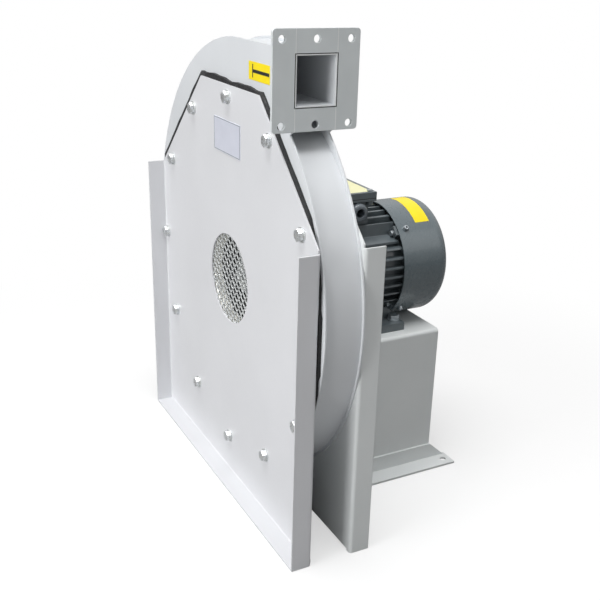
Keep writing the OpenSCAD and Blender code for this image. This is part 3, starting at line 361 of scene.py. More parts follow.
# The same enamel over drawn sheet: smoother and a little glossier
SHEET_ENAMEL = Finish("enamelled_sheet", "#606b70", "#586368", "cowl_paint", patch=45.0,
                      gloss=(0.24, 0.32), grain_size=2.4, relief=0.008, coat=0.5, edge=0.8)
# Glass filled polypropylene, moulded
MOULDED_BLACK = Finish("moulded_polypropylene", "#2a2c2f", "#232527", "black_plastic", patch=20.0,
                       gloss=(0.42, 0.55), grain_size=1.0, relief=0.012)
# Polyamide gland, moulded, a little glossy
POLYAMIDE = Finish("moulded_polyamide", "#6c7379", "#60676d", "gland_plastic", patch=12.0,
                   gloss=(0.16, 0.26), grain_size=1.2, relief=0.010)
# Phenolic terminal block
PHENOLIC = Finish("phenolic_moulding", "#3a2b23", "#30241d", "board_plastic", patch=10.0,
                  gloss=(0.30, 0.45), grain_size=0.9, relief=0.012)
# Printed vinyl, self adhesive
YELLOW_VINYL = Finish("yellow_vinyl", "#ffe714", "#f8dc06", "panel_paint", patch=25.0,
                      gloss=(0.28, 0.36), grain_size=1.0, relief=0.003)
BLACK_PRINT = Finish("black_print", "#17171a", "#202023", "panel_paint", patch=8.0,
                     gloss=(0.35, 0.45), grain_size=0.8, relief=0.003)
PALE_VINYL = Finish("pale_vinyl", "#f0edbe", "#e8e5ae", "panel_paint", patch=20.0,
                    gloss=(0.32, 0.42), grain_size=1.0, relief=0.003)


class Wardrobe:
    """Builds each finish once and dresses objects with it."""

    def __init__(self, shaft: Vector) -> None:
        """Keep the shaft point that turned finishes centre on."""
        self.shaft = shaft
        self.made: dict[str, bpy.types.Material] = {}

    def dress(self, piece: bpy.types.Object, finish: Finish) -> None:
        """Give a CAD node or a new piece one finish all over."""
        if finish.name not in self.made:
            self.made[finish.name] = finish.build(self.shaft)
        piece.data.materials.clear()
        piece.data.materials.append(self.made[finish.name])


# Points and lengths that the shape helpers get are metres in the frame


def bevel(bm: BMesh, edges: list[bmesh.types.BMEdge], offset: float, steps: int) -> None:
    """Round edges off."""
    bmesh.ops.bevel(bm, geom=edges, offset=offset, segments=steps, affect="EDGES", profile=0.5, material=-1)


def slab(bm: BMesh, low: Vector, high: Vector, rounding: float = 0.0) -> None:
    """Add a box between two corners, with the four edges along its thinnest side rounded."""
    size = high - low
    place = Matrix.Translation((low + high) / 2) @ Matrix.Diagonal((*size, 1.0))
    verts = bmesh.ops.create_cube(bm, size=1.0, matrix=place)["verts"]
    if rounding:
        thin = min(range(3), key=lambda axis: size[axis])
        edges = {edge for vert in verts for edge in vert.link_edges}
        upright = [e for e in edges if abs(e.verts[0].co[thin] - e.verts[1].co[thin]) > size[thin] / 2]
        bevel(bm, upright, rounding, CORNER_STEPS)


def rim_slabs(bm: BMesh, low: Vector, high: Vector, width: float, flat: int) -> None:
    """Add four boxes as the rim of a rectangle between two corners that is thin along one axis."""
    across, up = (axis for axis in range(3) if axis != flat)
    for side in (low, high):
        for run, cut in ((across, up), (up, across)):
            near, far = low.copy(), high.copy()
            shift = width if side is low else -width
            near[cut], far[cut] = sorted((side[cut], side[cut] + shift))
            if cut == across:
                near[run] += width
                far[run] -= width
            slab(bm, near, far)


def rod(bm: BMesh, start: Vector, end: Vector, radius: float, segments: int = 24,
        end_radius: float | None = None) -> list[bmesh.types.BMVert]:
    """Add a closed rod, cone or prism between two points.

    Args:
        bm: Mesh that gets the rod.
        start: Middle of its first end.
        end: Middle of its second end.
        radius: Radius at the first end.
        segments: Number of sides.
        end_radius: Radius at the second end, or None for the same.

    Returns:
        The vertices of the rod.
    """
    axis = end - start
    place = Matrix.Translation((start + end) / 2) @ axis.to_track_quat("Z", "Y").to_matrix().to_4x4()
    return bmesh.ops.create_cone(
        bm, cap_ends=True, segments=segments, radius1=radius,
        radius2=radius if end_radius is None else end_radius, depth=axis.length, matrix=place,
    )["verts"]


def bar(bm: BMesh, start: Vector, end: Vector, width: float, thick: float) -> None:
    """Add a flat bar between two points of an upright plane across the shaft."""
    axis = end - start
    turn = axis.to_track_quat("X", "Y").to_matrix().to_4x4()
    size = Matrix.Diagonal((axis.length + width / 2, width, thick, 1.0))
    bmesh.ops.create_cube(bm, size=1.0, matrix=Matrix.Translation((start + end) / 2) @ turn @ size)


def hexagon_head(bm: BMesh, seat: Vector, top: Vector, across: float) -> None:
    """Add a chamfered hexagon head from its seat to its top, by its width across the flats."""
    sides = 6
    verts = rod(bm, seat, top, across / 2 / math.cos(TURN / sides / 2), sides)
    crown = {v for v in verts if (v.co - top).length < (v.co - seat).length}
    rim = [e for e in {e for v in crown for e in v.link_edges} if set(e.verts) <= crown]
    bevel(bm, rim, (top - seat).length * CHAMFER_SHARE, CHAMFER_STEPS)


def pan_head(bm: BMesh, seat: Vector, top: Vector, across: float) -> None:
    """Add a domed screw head with a sunk drive from its seat to its top, by its diameter."""
    sides = 20
    shoulder = seat.lerp(top, SHOULDER_SHARE)
    rod(bm, seat, shoulder, across / 2, sides)
    verts = rod(bm, shoulder, top, across / 2, sides, across * CROWN_SHARE)
    faces = {f for v in verts for f in v.link_faces}
    crown = next(f for f in faces if (f.calc_center_median() - top).length < MERGE_DISTANCE)
    bmesh.ops.inset_region(bm, faces=[crown], thickness=across * DRIVE_RIM_SHARE, use_even_offset=True)
    sunk = bmesh.ops.extrude_discrete_faces(bm, faces=[crown])["faces"]
    bmesh.ops.translate(bm, verts=list(sunk[0].verts), vec=(seat - top) * DRIVE_DEPTH_SHARE)


def spun(bm: BMesh, profile: list[Vector], centre: Vector, axis: Vector, angle: float = TURN,
         steps: int = 48, closed: bool = True) -> None:
    """Spin a profile about an axis.

    Args:
        bm: Mesh that gets the shape.
        profile: Corners of the profile.
        centre: Point on the axis.
        axis: Direction of the axis.
        angle: Angle of the spin, in radians.
        steps: Number of steps.
        closed: Whether the last corner joins the first.
    """
    verts = [bm.verts.new(corner) for corner in profile]
    ends = verts[1:] + verts[:1] if closed else verts[1:]
    edges = [bm.edges.new(pair) for pair in zip(verts, ends)]
    bmesh.ops.spin(bm, geom=verts + edges, cent=centre, axis=axis, angle=angle, steps=steps,
                   use_merge=angle >= TURN, use_duplicate=False)


@dataclass(frozen=True)
class Datum:
    """Point that places are measured from: on the floor, below the shaft, at the back of the front panel.

    Attributes:
        x: Its place across, in metres.
        y: Its place along the shaft, in metres.
    """

    x: float
    y: float

    def at(self, x: float, y: float, z: float) -> Vector:
        """Turn millimetres from the datum into a point of the frame."""
        return Vector((self.x + x * MM, self.y + y * MM, z * MM))


def corners(node: str) -> tuple[Vector, Vector]:
    """Give the two corners of a CAD node's box."""
    low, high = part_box(node)
    return Vector(low), Vector(high)


def new_piece(name: str, bm: BMesh, body: str, finish: Finish, wardrobe: Wardrobe,
              instead_of: tuple[str, ...]) -> None:
    """Turn a bmesh into a finished piece that rides on a body.

    Args:
        name: Name of the piece.
        bm: Shape in metres, in the frame; it is freed.
        body: CAD body that carries the piece.
        finish: Its finish.
        wardrobe: Builder of the finishes.
        instead_of: CAD nodes that the piece stands for.
    """
    bmesh.ops.remove_doubles(bm, verts=bm.verts, dist=MERGE_DISTANCE)
    bmesh.ops.recalc_face_normals(bm, faces=bm.faces)
    piece = mesh_object(name, bm)
    piece.data.shade_smooth()
    piece.data.set_sharp_from_angle(angle=SMOOTH_ANGLE)
    wardrobe.dress(piece, finish)
    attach(piece, body)
    if instead_of:
        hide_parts(*instead_of)
    LOG.info("%s: %d faces on %s", name, len(piece.data.polygons), body)


@dataclass
class Assembly:
    """Common ground of the sub-assemblies.

    Attributes:
        wardrobe: Builder of the finishes.
        nodes: CAD objects by name.
        datum: Point that places are measured from.
        body: CAD body that carries the new pieces.
        shaft_z: Height of the shaft line.
        FINISHES: Finish of each CAD node of the assembly.
    """

    FINISHES: ClassVar[dict[str, Finish]] = {}

    wardrobe: Wardrobe
    nodes: dict[str, bpy.types.Object]
    datum: Datum
    body: str = "casing"
    shaft_z: float = 284.0

    def piece(self, name: str, bm: BMesh, finish: Finish, *instead_of: str) -> None:
        """Turn a bmesh into a piece of this assembly."""
        new_piece(name, bm, self.body, finish, self.wardrobe, instead_of)

    def smoothed(self, node: str, finish: Finish) -> None:
        """Put a copy in a CAD node's place whose curves are shaded as curves."""
        self.piece(f"{node}_curved", shape_of(self.nodes[node]), finish, node)

    def around(self, reach: float, turn: float, y: float = 0.0) -> Vector:
        """Give the point at a reach from the shaft line and at a turn in radians from level."""
        return self.datum.at(reach * math.cos(turn), y, self.shaft_z + reach * math.sin(turn))

    def build(self) -> None:
        """Dress the CAD nodes of the assembly; sub-classes add their pieces."""
        for name, finish in self.FINISHES.items():
            self.wardrobe.dress(self.nodes[name], finish)
            LOG.info("%s dressed as %s", name, finish.name)


@dataclass
class Panels(Assembly):
    """Front and rear panels with the gasket, bolts and the bare plate.

    Attributes:
        bolt_count: Number of bolts round the inlet.
        bolt_circle: Radius of the circle that they stand on.
        bolt_across: Width of their heads across the flats.
        bolt_d: Diameter of their shanks.
        shank_sides: Number of sides of a shank.
        head_h: Height of their heads.
        border_inset: Distance from the plate's edge in to its border.
        border_w: Width of the border.
        print_t: Thickness that print and labels stand proud.
        wave: How far the cut edge of the gasket wanders to each side along the top.
        side_share: Share of that wave that is left down the sides.
        crest: How quickly the wave fades from the top to the sides.
        wave_shares: Shares of the long wave, of the short one and of a steady step inwards.
        spread: How much further it reaches past the cut corner away from the outlet.
        tuck: How much less it reaches past the side below the outlet.
        wave_counts: Waves of that edge in one turn, a long and a short one.
        wave_step: Longest straight stretch of that edge.
    """

    FINISHES: ClassVar[dict[str, Finish]] = {
        # The rear panel and the seal plate take the lighter rear coat: painted light
        "front_panel": PANEL_COAT, "rear_panel": REAR_COAT_PAINTED_LIGHT, "panel_gasket": EPDM_STRIP,
        "panel_bolts": ZINC_PLATE, "panel_washers": ZINC_PLATE, "panel_rivet_nuts": ZINC_PLATE,
        "nameplate": ANODISED, "seal_plate": REAR_COAT_PAINTED_LIGHT, "shaft_seal": WOOL_FELT,
    }

    bolt_count: int = 12
    bolt_circle: float = 230.0
    bolt_across: float = 13.0
    bolt_d: float = 8.0
    shank_sides: int = 16
    head_h: float = 5.3
    border_inset: float = 0.5
    border_w: float = 0.9
    print_t: float = 0.12
    wave: float = 1.7
    side_share: float = 0.2
    crest: int = 6
    wave_shares: tuple[float, float, float] = (0.65, 0.35, 0.5)
    spread: float = 1.8
    tuck: float = 3.8
    wave_counts: tuple[int, int] = (19, 43)
    wave_step: float = 9.0

    def build(self) -> None:
        """Dress the nodes and add the bolts, the gasket and the plate's border."""
        super().build()
        self.bolts()
        self.gasket()
        self.plate_border()

    def bolts(self) -> None:
        """Make the panel's hexagon bolts with their chamfers."""
        low, high = corners("panel_bolts")
        bm = bmesh.new()
        for i in range(self.bolt_count):
            place = self.around(self.bolt_circle, TURN * i / self.bolt_count)
            top = Vector((place.x, low.y, place.z))
            seat = Vector((place.x, low.y + self.head_h * MM, place.z))
            hexagon_head(bm, seat, top, self.bolt_across * MM)
            rod(bm, seat, Vector((place.x, high.y, place.z)), self.bolt_d / 2 * MM, self.shank_sides)
        self.piece("panel_bolts_chamfered", bm, ZINC_PLATE, "panel_bolts")

    def gasket(self) -> None:
        """Copy the gasket and let its hand cut outer edge wander a little."""
        bm = shape_of(self.nodes["panel_gasket"])
        bmesh.ops.dissolve_limit(bm, angle_limit=FLAT_ANGLE, verts=bm.verts, edges=bm.edges)
        centre = self.datum.at(0.0, 0.0, self.shaft_z)
        outside = self.bolt_circle * MM + self.bolt_across * MM
        step = self.wave_step * MM
        long_edges = [
            e for e in bm.edges
            if e.calc_length() > step
            and min(Vector((v.co.x - centre.x, v.co.z - centre.z)).length for v in e.verts) > outside
        ]
        for edge in long_edges:
            bmesh.ops.subdivide_edges(bm, edges=[edge], cuts=int(edge.calc_length() / step))
        long_share, short_share, inward = self.wave_shares
        for vert in bm.verts:
            across, up = vert.co.x - centre.x, vert.co.z - centre.z
            reach = math.hypot(across, up)
            if reach < outside:
                continue
            turn = math.atan2(up, across)
            slow, quick = (math.sin(turn * count) for count in self.wave_counts)
            rise, side = max(0.0, math.sin(turn)), math.cos(turn)
            height = self.wave * (self.side_share + (1.0 - self.side_share) * rise ** self.crest)
            shift = height * (long_share * slow + short_share * quick - inward)
            cut_corner = 2.0 * rise * max(0.0, -side)
            shift += self.spread * cut_corner - self.tuck * max(0.0, side)
            shift *= MM / reach
            vert.co.x += across * shift
            vert.co.z += up * shift
        bmesh.ops.triangulate(bm, faces=bm.faces)
        self.piece("panel_gasket_cut", bm, EPDM_STRIP, "panel_gasket")

    def plate_border(self) -> None:
        """Make the etched line round the bare plate."""
        low, high = corners("nameplate")
        inset = self.border_inset * MM
        near = Vector((low.x + inset, low.y - self.print_t * MM, low.z + inset))
        far = Vector((high.x - inset, low.y, high.z - inset))
        bm = bmesh.new()
        rim_slabs(bm, near, far, self.border_w * MM, 1)
        self.piece("nameplate_border", bm, ETCHED_LINE)


@dataclass
class Scroll(Assembly):
    """Cheeks, wrap and outlet flange.

    Attributes:
        edge_w: Width of the sheet edges that show inside the outlet.
        edge_l: How far back they are drawn.
        gap_w: Width of the open joint round them.
        weld_w: Width of the ground welds between the flange strips.
        proud: How far welds and joints stand out of the flange's face.
        label_low: Lower left corner of the airflow label, across and up.
        label_size: Width and height of the label.
        label_t: Thickness of the label.
        label_round: Radius of its corners.
        print_lift: Back and front of the print over the cheek, in label thicknesses.
        stroke_w: Width of the arrow's cross stroke.
        stroke_h: Height of the cross stroke.
        bar_w: Thickness of the arrow's bar.
        bar_reach: Where the bar starts and ends, from the label's left.
    """

    FINISHES: ClassVar[dict[str, Finish]] = {
        "outlet_strip_left": FLANGE_COAT, "outlet_strip_right": FLANGE_COAT,
        "outlet_strip_top": FLANGE_COAT, "outlet_strip_bottom": FLANGE_COAT,
        "scroll_front_cheek": CASING_COAT, "scroll_wrap": CASING_COAT, "scroll_rear_cheek": CASING_COAT,
    }

    edge_w: float = 1.2
    edge_l: float = 6.0
    gap_w: float = 1.0
    weld_w: float = 1.0
    proud: float = 0.06
    label_low: tuple[float, float] = (48.0, 541.0)
    label_size: tuple[float, float] = (56.0, 20.5)
    label_t: float = 0.15
    label_round: float = 1.0
    print_lift: tuple[float, float] = (0.8, 1.6)
    stroke_w: float = 2.4
    stroke_h: float = 15.0
    bar_w: float = 3.7
    bar_reach: tuple[float, float] = (12.0, 54.5)

    def build(self) -> None:
        """Dress the nodes and add the outlet's edges and the airflow label."""
        super().build()
        self.smoothed("scroll_wrap", CASING_COAT)
        self.outlet_edges()
        self.flange_welds()
        self.airflow_label()

    def opening(self) -> tuple[Vector, Vector]:
        """Give the two corners of the outlet's opening in the flange's face."""
        face = corners("outlet_strip_left")[1].x
        low = Vector((face, corners("outlet_strip_left")[1].y, corners("outlet_strip_bottom")[1].z))
        high = Vector((face, corners("outlet_strip_right")[0].y, corners("outlet_strip_top")[0].z))
        return low, high

    def outlet_edges(self) -> None:
        """Make the sheet edges inside the opening, a shade lighter as painted highlight, and the dark open
        joint round them as painted shade.
        """
        low, high = self.opening()
        back = Vector((self.edge_l * MM, 0.0, 0.0))
        front = Vector((self.proud * MM, 0.0, 0.0))
        bm = bmesh.new()
        # The sheet edges take the lighter coat: painted highlight
        rim_slabs(bm, low - back, high + front, self.edge_w * MM, 0)
        self.piece("outlet_sheet_edges", bm, EDGE_HIGHLIGHT_COAT)
        # Thin dark rim round the edges: painted shade of the open joint
        width = self.gap_w * MM
        grown = Vector((0.0, width, width))
        bm = bmesh.new()
        rim_slabs(bm, low - grown - front / 2, high + grown + front, width, 0)
        self.piece("outlet_joint_painted_shade", bm, JOINT_SHADE)

    def flange_welds(self) -> None:
        """Make the ground welds where the upright strips meet the cross strips."""
        low, high = self.opening()
        front = self.proud * MM
        half = self.weld_w / 2 * MM
        bm = bmesh.new()
        for strip in ("outlet_strip_bottom", "outlet_strip_top"):
            bottom, top = corners(strip)
            for seam in (low.y, high.y):
                slab(bm, Vector((low.x - front, seam - half, bottom.z)),
                     Vector((low.x + front, seam + half, top.z)))
        # The welds take the lighter coat: painted highlight, where they catch the light
        self.piece("flange_welds", bm, EDGE_HIGHLIGHT_COAT)

    def airflow_label(self) -> None:
        """Make the yellow label beside the outlet with its plain arrow."""
        face = (corners("scroll_front_cheek")[0].y - self.datum.y) / MM
        x, z = self.label_low
        width, height = self.label_size
        middle = z + height / 2
        bm = bmesh.new()
        slab(bm, self.datum.at(x, face - self.label_t, z), self.datum.at(x + width, face, z + height),
             self.label_round * MM)
        self.piece("airflow_label", bm, YELLOW_VINYL)
        back, front = (face - lift * self.label_t for lift in self.print_lift)
        start, end = self.bar_reach
        bm = bmesh.new()
        slab(bm, self.datum.at(x + start - self.stroke_w, front, middle - self.stroke_h / 2),
             self.datum.at(x + start, back, middle + self.stroke_h / 2))
        slab(bm, self.datum.at(x + start, front, middle - self.bar_w / 2),
             self.datum.at(x + end, back, middle + self.bar_w / 2))
        self.piece("airflow_arrow", bm, BLACK_PRINT)


@dataclass
class Inlet(Assembly):
    """Inlet nozzle and the expanded metal in front of it.

    Attributes:
        disc_d: Diameter of the cut disc of mesh.
        pitch: Width of one opening with its strand.
        row_h: Height from one row of crossings to the next.
        strand: Width of a strand.
    """

    FINISHES: ClassVar[dict[str, Finish]] = {"inlet_mesh": GALVANISED, "inlet_nozzle": SPUN_SHEET}

    disc_d: float = 135.0
    pitch: float = 13.0
    row_h: float = 6.5
    strand: float = 1.8

    def build(self) -> None:
        """Dress the nodes and make the mesh of separate strands."""
        super().build()
        self.mesh()
        self.smoothed("inlet_nozzle", SPUN_SHEET)

    def mesh(self) -> None:
        """Make the strands of the expanded metal from crossing to crossing."""
        low, high = corners("inlet_mesh")
        limit = (self.disc_d - self.strand) / 2
        rows, cols = int(limit / self.row_h), int(limit / self.pitch) + 1
        bm = bmesh.new()
        for row in range(-rows, rows):
            for col in range(-cols, cols + 1):
                x, z = (col + 0.5 * (1 + row % 2)) * self.pitch, row * self.row_h
                for far in (x - self.pitch / 2, x + self.pitch / 2):
                    if max(math.hypot(x, z), math.hypot(far, z + self.row_h)) > limit:
                        continue
                    start = self.datum.at(x, 0.0, self.shaft_z + z)
                    end = self.datum.at(far, 0.0, self.shaft_z + z + self.row_h)
                    start.y = end.y = (low.y + high.y) / 2
                    bar(bm, start, end, self.strand * MM, high.y - low.y)
        self.piece("inlet_mesh_strands", bm, GALVANISED, "inlet_mesh")


@dataclass
class Rotor(Assembly):
    """Impeller, shaft and the other pieces that turn."""

    FINISHES: ClassVar[dict[str, Finish]] = {
        # The blades and the shroud take the darker sheet: painted shade inside the casing
        "impeller_back_plate": SPUN_SHEET, "impeller_front_shroud": BLADE_SHEET_PAINTED_SHADE,
        "impeller_blades": BLADE_SHEET_PAINTED_SHADE, "impeller_hub": GROUND_STEEL, "hub_rivets": ZINC_PLATE,
        "hub_washer": ZINC_PLATE, "hub_bolt": ZINC_PLATE, "motor_shaft": GROUND_STEEL,
        "shaft_key": GROUND_STEEL, "bearing_inner_rings": GROUND_STEEL,
        "rotor_core": CORE_SHEETS, "cooling_fan": MOULDED_BLACK,
    }

    body: str = "rotor"


@dataclass
class Motor(Assembly):
    """Foot mounted motor with its cowl and terminal box.

    Attributes:
        cowl_d: Outside diameter of the fan cowl.
        lip_d: Thickness of the cowl's rolled front lip.
        lip_steps: Steps round the lip's section and round the cowl.
        screw_count: Number of the cowl screws.
        screw_y: Their place along the shaft.
        screw_d: Diameter of their heads.
        screw_h: Height of their heads.
        shank_d: Diameter of their shanks.
        shank_l: Length of their shanks.
        shank_sides: Number of sides of their shanks.
        sticker_y: Where the cowl's sticker starts and ends along the shaft.
        sticker_turn: Where it starts and ends round the shaft, in degrees from level.
        sticker_steps: Steps of its curve.
        label_t: Thickness of labels.
        label_margin: Distance from the lid's edge to its label.
        label_round: Radius of the corners of that label.
        gland_bore: Diameter of the cable entry.
        gland_round: Radius of the gland's shoulder.
        gland_steps: Steps of that shoulder and round the gland.
    """

    FINISHES: ClassVar[dict[str, Finish]] = {
        "motor_frame": CAST_ENAMEL, "drive_end_shield": CAST_ENAMEL, "rear_end_shield": CAST_ENAMEL,
        "fan_cowl": SHEET_ENAMEL, "cowl_screws": ZINC_PLATE, "shield_screws": ZINC_SCREW,
        "front_bearing": GROUND_STEEL, "rear_bearing": GROUND_STEEL,
        "stator_core": CORE_SHEETS, "stator_windings": VARNISHED_COPPER,
        "terminal_box_base": CAST_ENAMEL, "terminal_box_lid": CAST_ENAMEL,
        "lid_gasket": EPDM_STRIP, "lid_screws": ZINC_SCREW, "terminal_board": PHENOLIC,
        "cable_gland": POLYAMIDE, "blanking_plug": MOULDED_BLACK,
    }

    cowl_d: float = 159.0
    lip_d: float = 2.0
    lip_steps: tuple[int, int] = (12, 96)
    screw_count: int = 4
    screw_y: float = 228.0
    screw_d: float = 8.0
    screw_h: float = 4.0
    shank_d: float = 4.0
    shank_l: float = 8.0
    shank_sides: int = 12
    sticker_y: tuple[float, float] = (246.6, 269.0)
    sticker_turn: tuple[float, float] = (50.0, 100.0)
    sticker_steps: int = 16
    label_t: float = 0.15
    label_margin: float = 5.0
    label_round: float = 1.5
    gland_bore: float = 12.0
    gland_round: float = 4.5
    gland_steps: tuple[int, int] = (6, 40)

    def build(self) -> None:
        """Dress the nodes and add the cowl's lip, screws and labels and the gland."""
        super().build()
        self.cowl_lip()
        self.cowl_screws()
        self.cowl_sticker()
        self.lid_label()
        self.gland()

    def cowl_lip(self) -> None:
        """Make the rolled lip at the cowl's open end."""
        low, _ = corners("fan_cowl")
        radius = self.lip_d / 2 * MM
        place = Vector((self.datum.x + self.cowl_d / 2 * MM - radius, low.y + radius, self.shaft_z * MM))
        sides, steps = self.lip_steps
        bm = bmesh.new()
        ring = bmesh.ops.create_circle(
            bm, segments=sides, radius=radius, matrix=Matrix.Translation(place)
        )["verts"]
        edges = list({e for v in ring for e in v.link_edges})
        centre = Vector((self.datum.x, 0.0, self.shaft_z * MM))
        bmesh.ops.spin(bm, geom=ring + edges, cent=centre, axis=(0.0, 1.0, 0.0), angle=TURN, steps=steps,
                       use_merge=True)
        self.piece("cowl_lip", bm, SHEET_ENAMEL)

    def cowl_screws(self) -> None:
        """Make the cowl's domed screws."""
        bm = bmesh.new()
        for i in range(self.screw_count):
            turn = TURN * (i + 0.5) / self.screw_count
            outward = Vector((math.cos(turn), 0.0, math.sin(turn)))
            seat = self.around(self.cowl_d / 2, turn, self.screw_y)
            pan_head(bm, seat, seat + outward * self.screw_h * MM, self.screw_d * MM)
            rod(bm, seat - outward * self.shank_l * MM, seat, self.shank_d / 2 * MM, self.shank_sides)
        self.piece("cowl_screws_domed", bm, ZINC_SCREW, "cowl_screws")

    def cowl_sticker(self) -> None:
        """Make the bare yellow sticker that follows the cowl's curve."""
        start, end = (math.radians(turn) for turn in self.sticker_turn)
        reach = self.cowl_d / 2 + self.label_t
        profile = [self.around(reach, start, y) for y in self.sticker_y]
        bm = bmesh.new()
        spun(bm, profile, self.datum.at(0.0, 0.0, self.shaft_z), Vector((0.0, -1.0, 0.0)), end - start,
             self.sticker_steps, closed=False)
        bmesh.ops.solidify(bm, geom=bm.faces[:], thickness=self.label_t * MM)
        self.piece("cowl_sticker", bm, YELLOW_VINYL)

    def lid_label(self) -> None:
        """Make the bare pale label on the lid."""
        low, high = corners("terminal_box_lid")
        margin = Vector((self.label_margin, self.label_margin, 0.0)) * MM
        proud = Vector((0.0, 0.0, self.label_t * MM))
        bm = bmesh.new()
        slab(bm, Vector((low.x, low.y, high.z)) + margin, high - margin + proud, self.label_round * MM)
        self.piece("lid_label", bm, PALE_VINYL)

    def gland(self) -> None:
        """Make the gland with its rounded shoulder and its open bore."""
        low, high = corners("cable_gland")
        centre = (low + high) / 2
        outer, bore, curve = (high.z - low.z) / 2, self.gland_bore / 2 * MM, self.gland_round * MM
        steps, round_steps = self.gland_steps
        shoulder = [
            Vector((
                high.x - curve + curve * math.sin(t),
                centre.y,
                centre.z + outer - curve + curve * math.cos(t),
            ))
            for t in (TURN / 4 * step / steps for step in range(steps + 1))
        ]
        mouth = Vector((high.x, centre.y, centre.z + bore))
        foot = Vector((low.x, centre.y, centre.z))
        profile = [foot + Vector((0.0, 0.0, outer)), *shoulder, mouth, foot + Vector((0.0, 0.0, bore))]
        bm = bmesh.new()
        spun(bm, profile, centre, Vector((1.0, 0.0, 0.0)), steps=round_steps)
        self.piece("cable_gland_rounded", bm, POLYAMIDE, "cable_gland")


@dataclass
class Stool(Assembly):
    """Folded stool, its foot angles and the motor's bolts."""

    FINISHES: ClassVar[dict[str, Finish]] = {
        # The stool and its foot angles take the lighter rear coat: painted light
        "stool": REAR_COAT_PAINTED_LIGHT, "foot_angle_left": REAR_COAT_PAINTED_LIGHT, "foot_angle_right": REAR_COAT_PAINTED_LIGHT,
        "foot_bolts": ZINC_SCREW, "foot_washers": ZINC_SCREW, "foot_nuts": ZINC_PLATE,
    }


@dataclass(frozen=True)
class Viewpoint:
    """The photograph's camera, in the frame, for an image of 600 by 600 pixels.

    Attributes:
        place: Camera place.
        azimuth: Direction of view, 0 along +Y and 90 along -X, in degrees.
        dip: How far the view points down, in degrees.
        roll: Turn about the view axis, in degrees.
        focal_pixels: Focal length in pixels.
        centre_pixels: Where the view axis meets the image.
        image_pixels: Side of the image.
    """

    place: tuple[float, float, float] = (1020.39, -560.76, 677.65)
    azimuth: float = 61.03
    dip: float = 21.86
    roll: float = 1.91
    focal_pixels: float = 897.86
    centre_pixels: tuple[float, float] = (318.81, 312.26)
    image_pixels: float = 600.0

    def matrix(self) -> Matrix:
        """Give the camera's matrix in scene metres."""
        az, dip, roll = (math.radians(v) for v in (self.azimuth, self.dip, self.roll))
        level = Vector((-math.sin(az), math.cos(az), 0.0))
        ahead = level * math.cos(dip) + Vector((0.0, 0.0, -math.sin(dip)))
        right = ahead.cross(Vector((0.0, 0.0, 1.0))).normalized()
        up = right.cross(ahead)
        right, up = (
            right * math.cos(roll) + up * math.sin(roll),
            up * math.cos(roll) - right * math.sin(roll),
        )
        turn = Matrix((right, up, -ahead)).transposed().to_4x4()
        return Matrix.Translation(Vector(self.place) * MM) @ turn


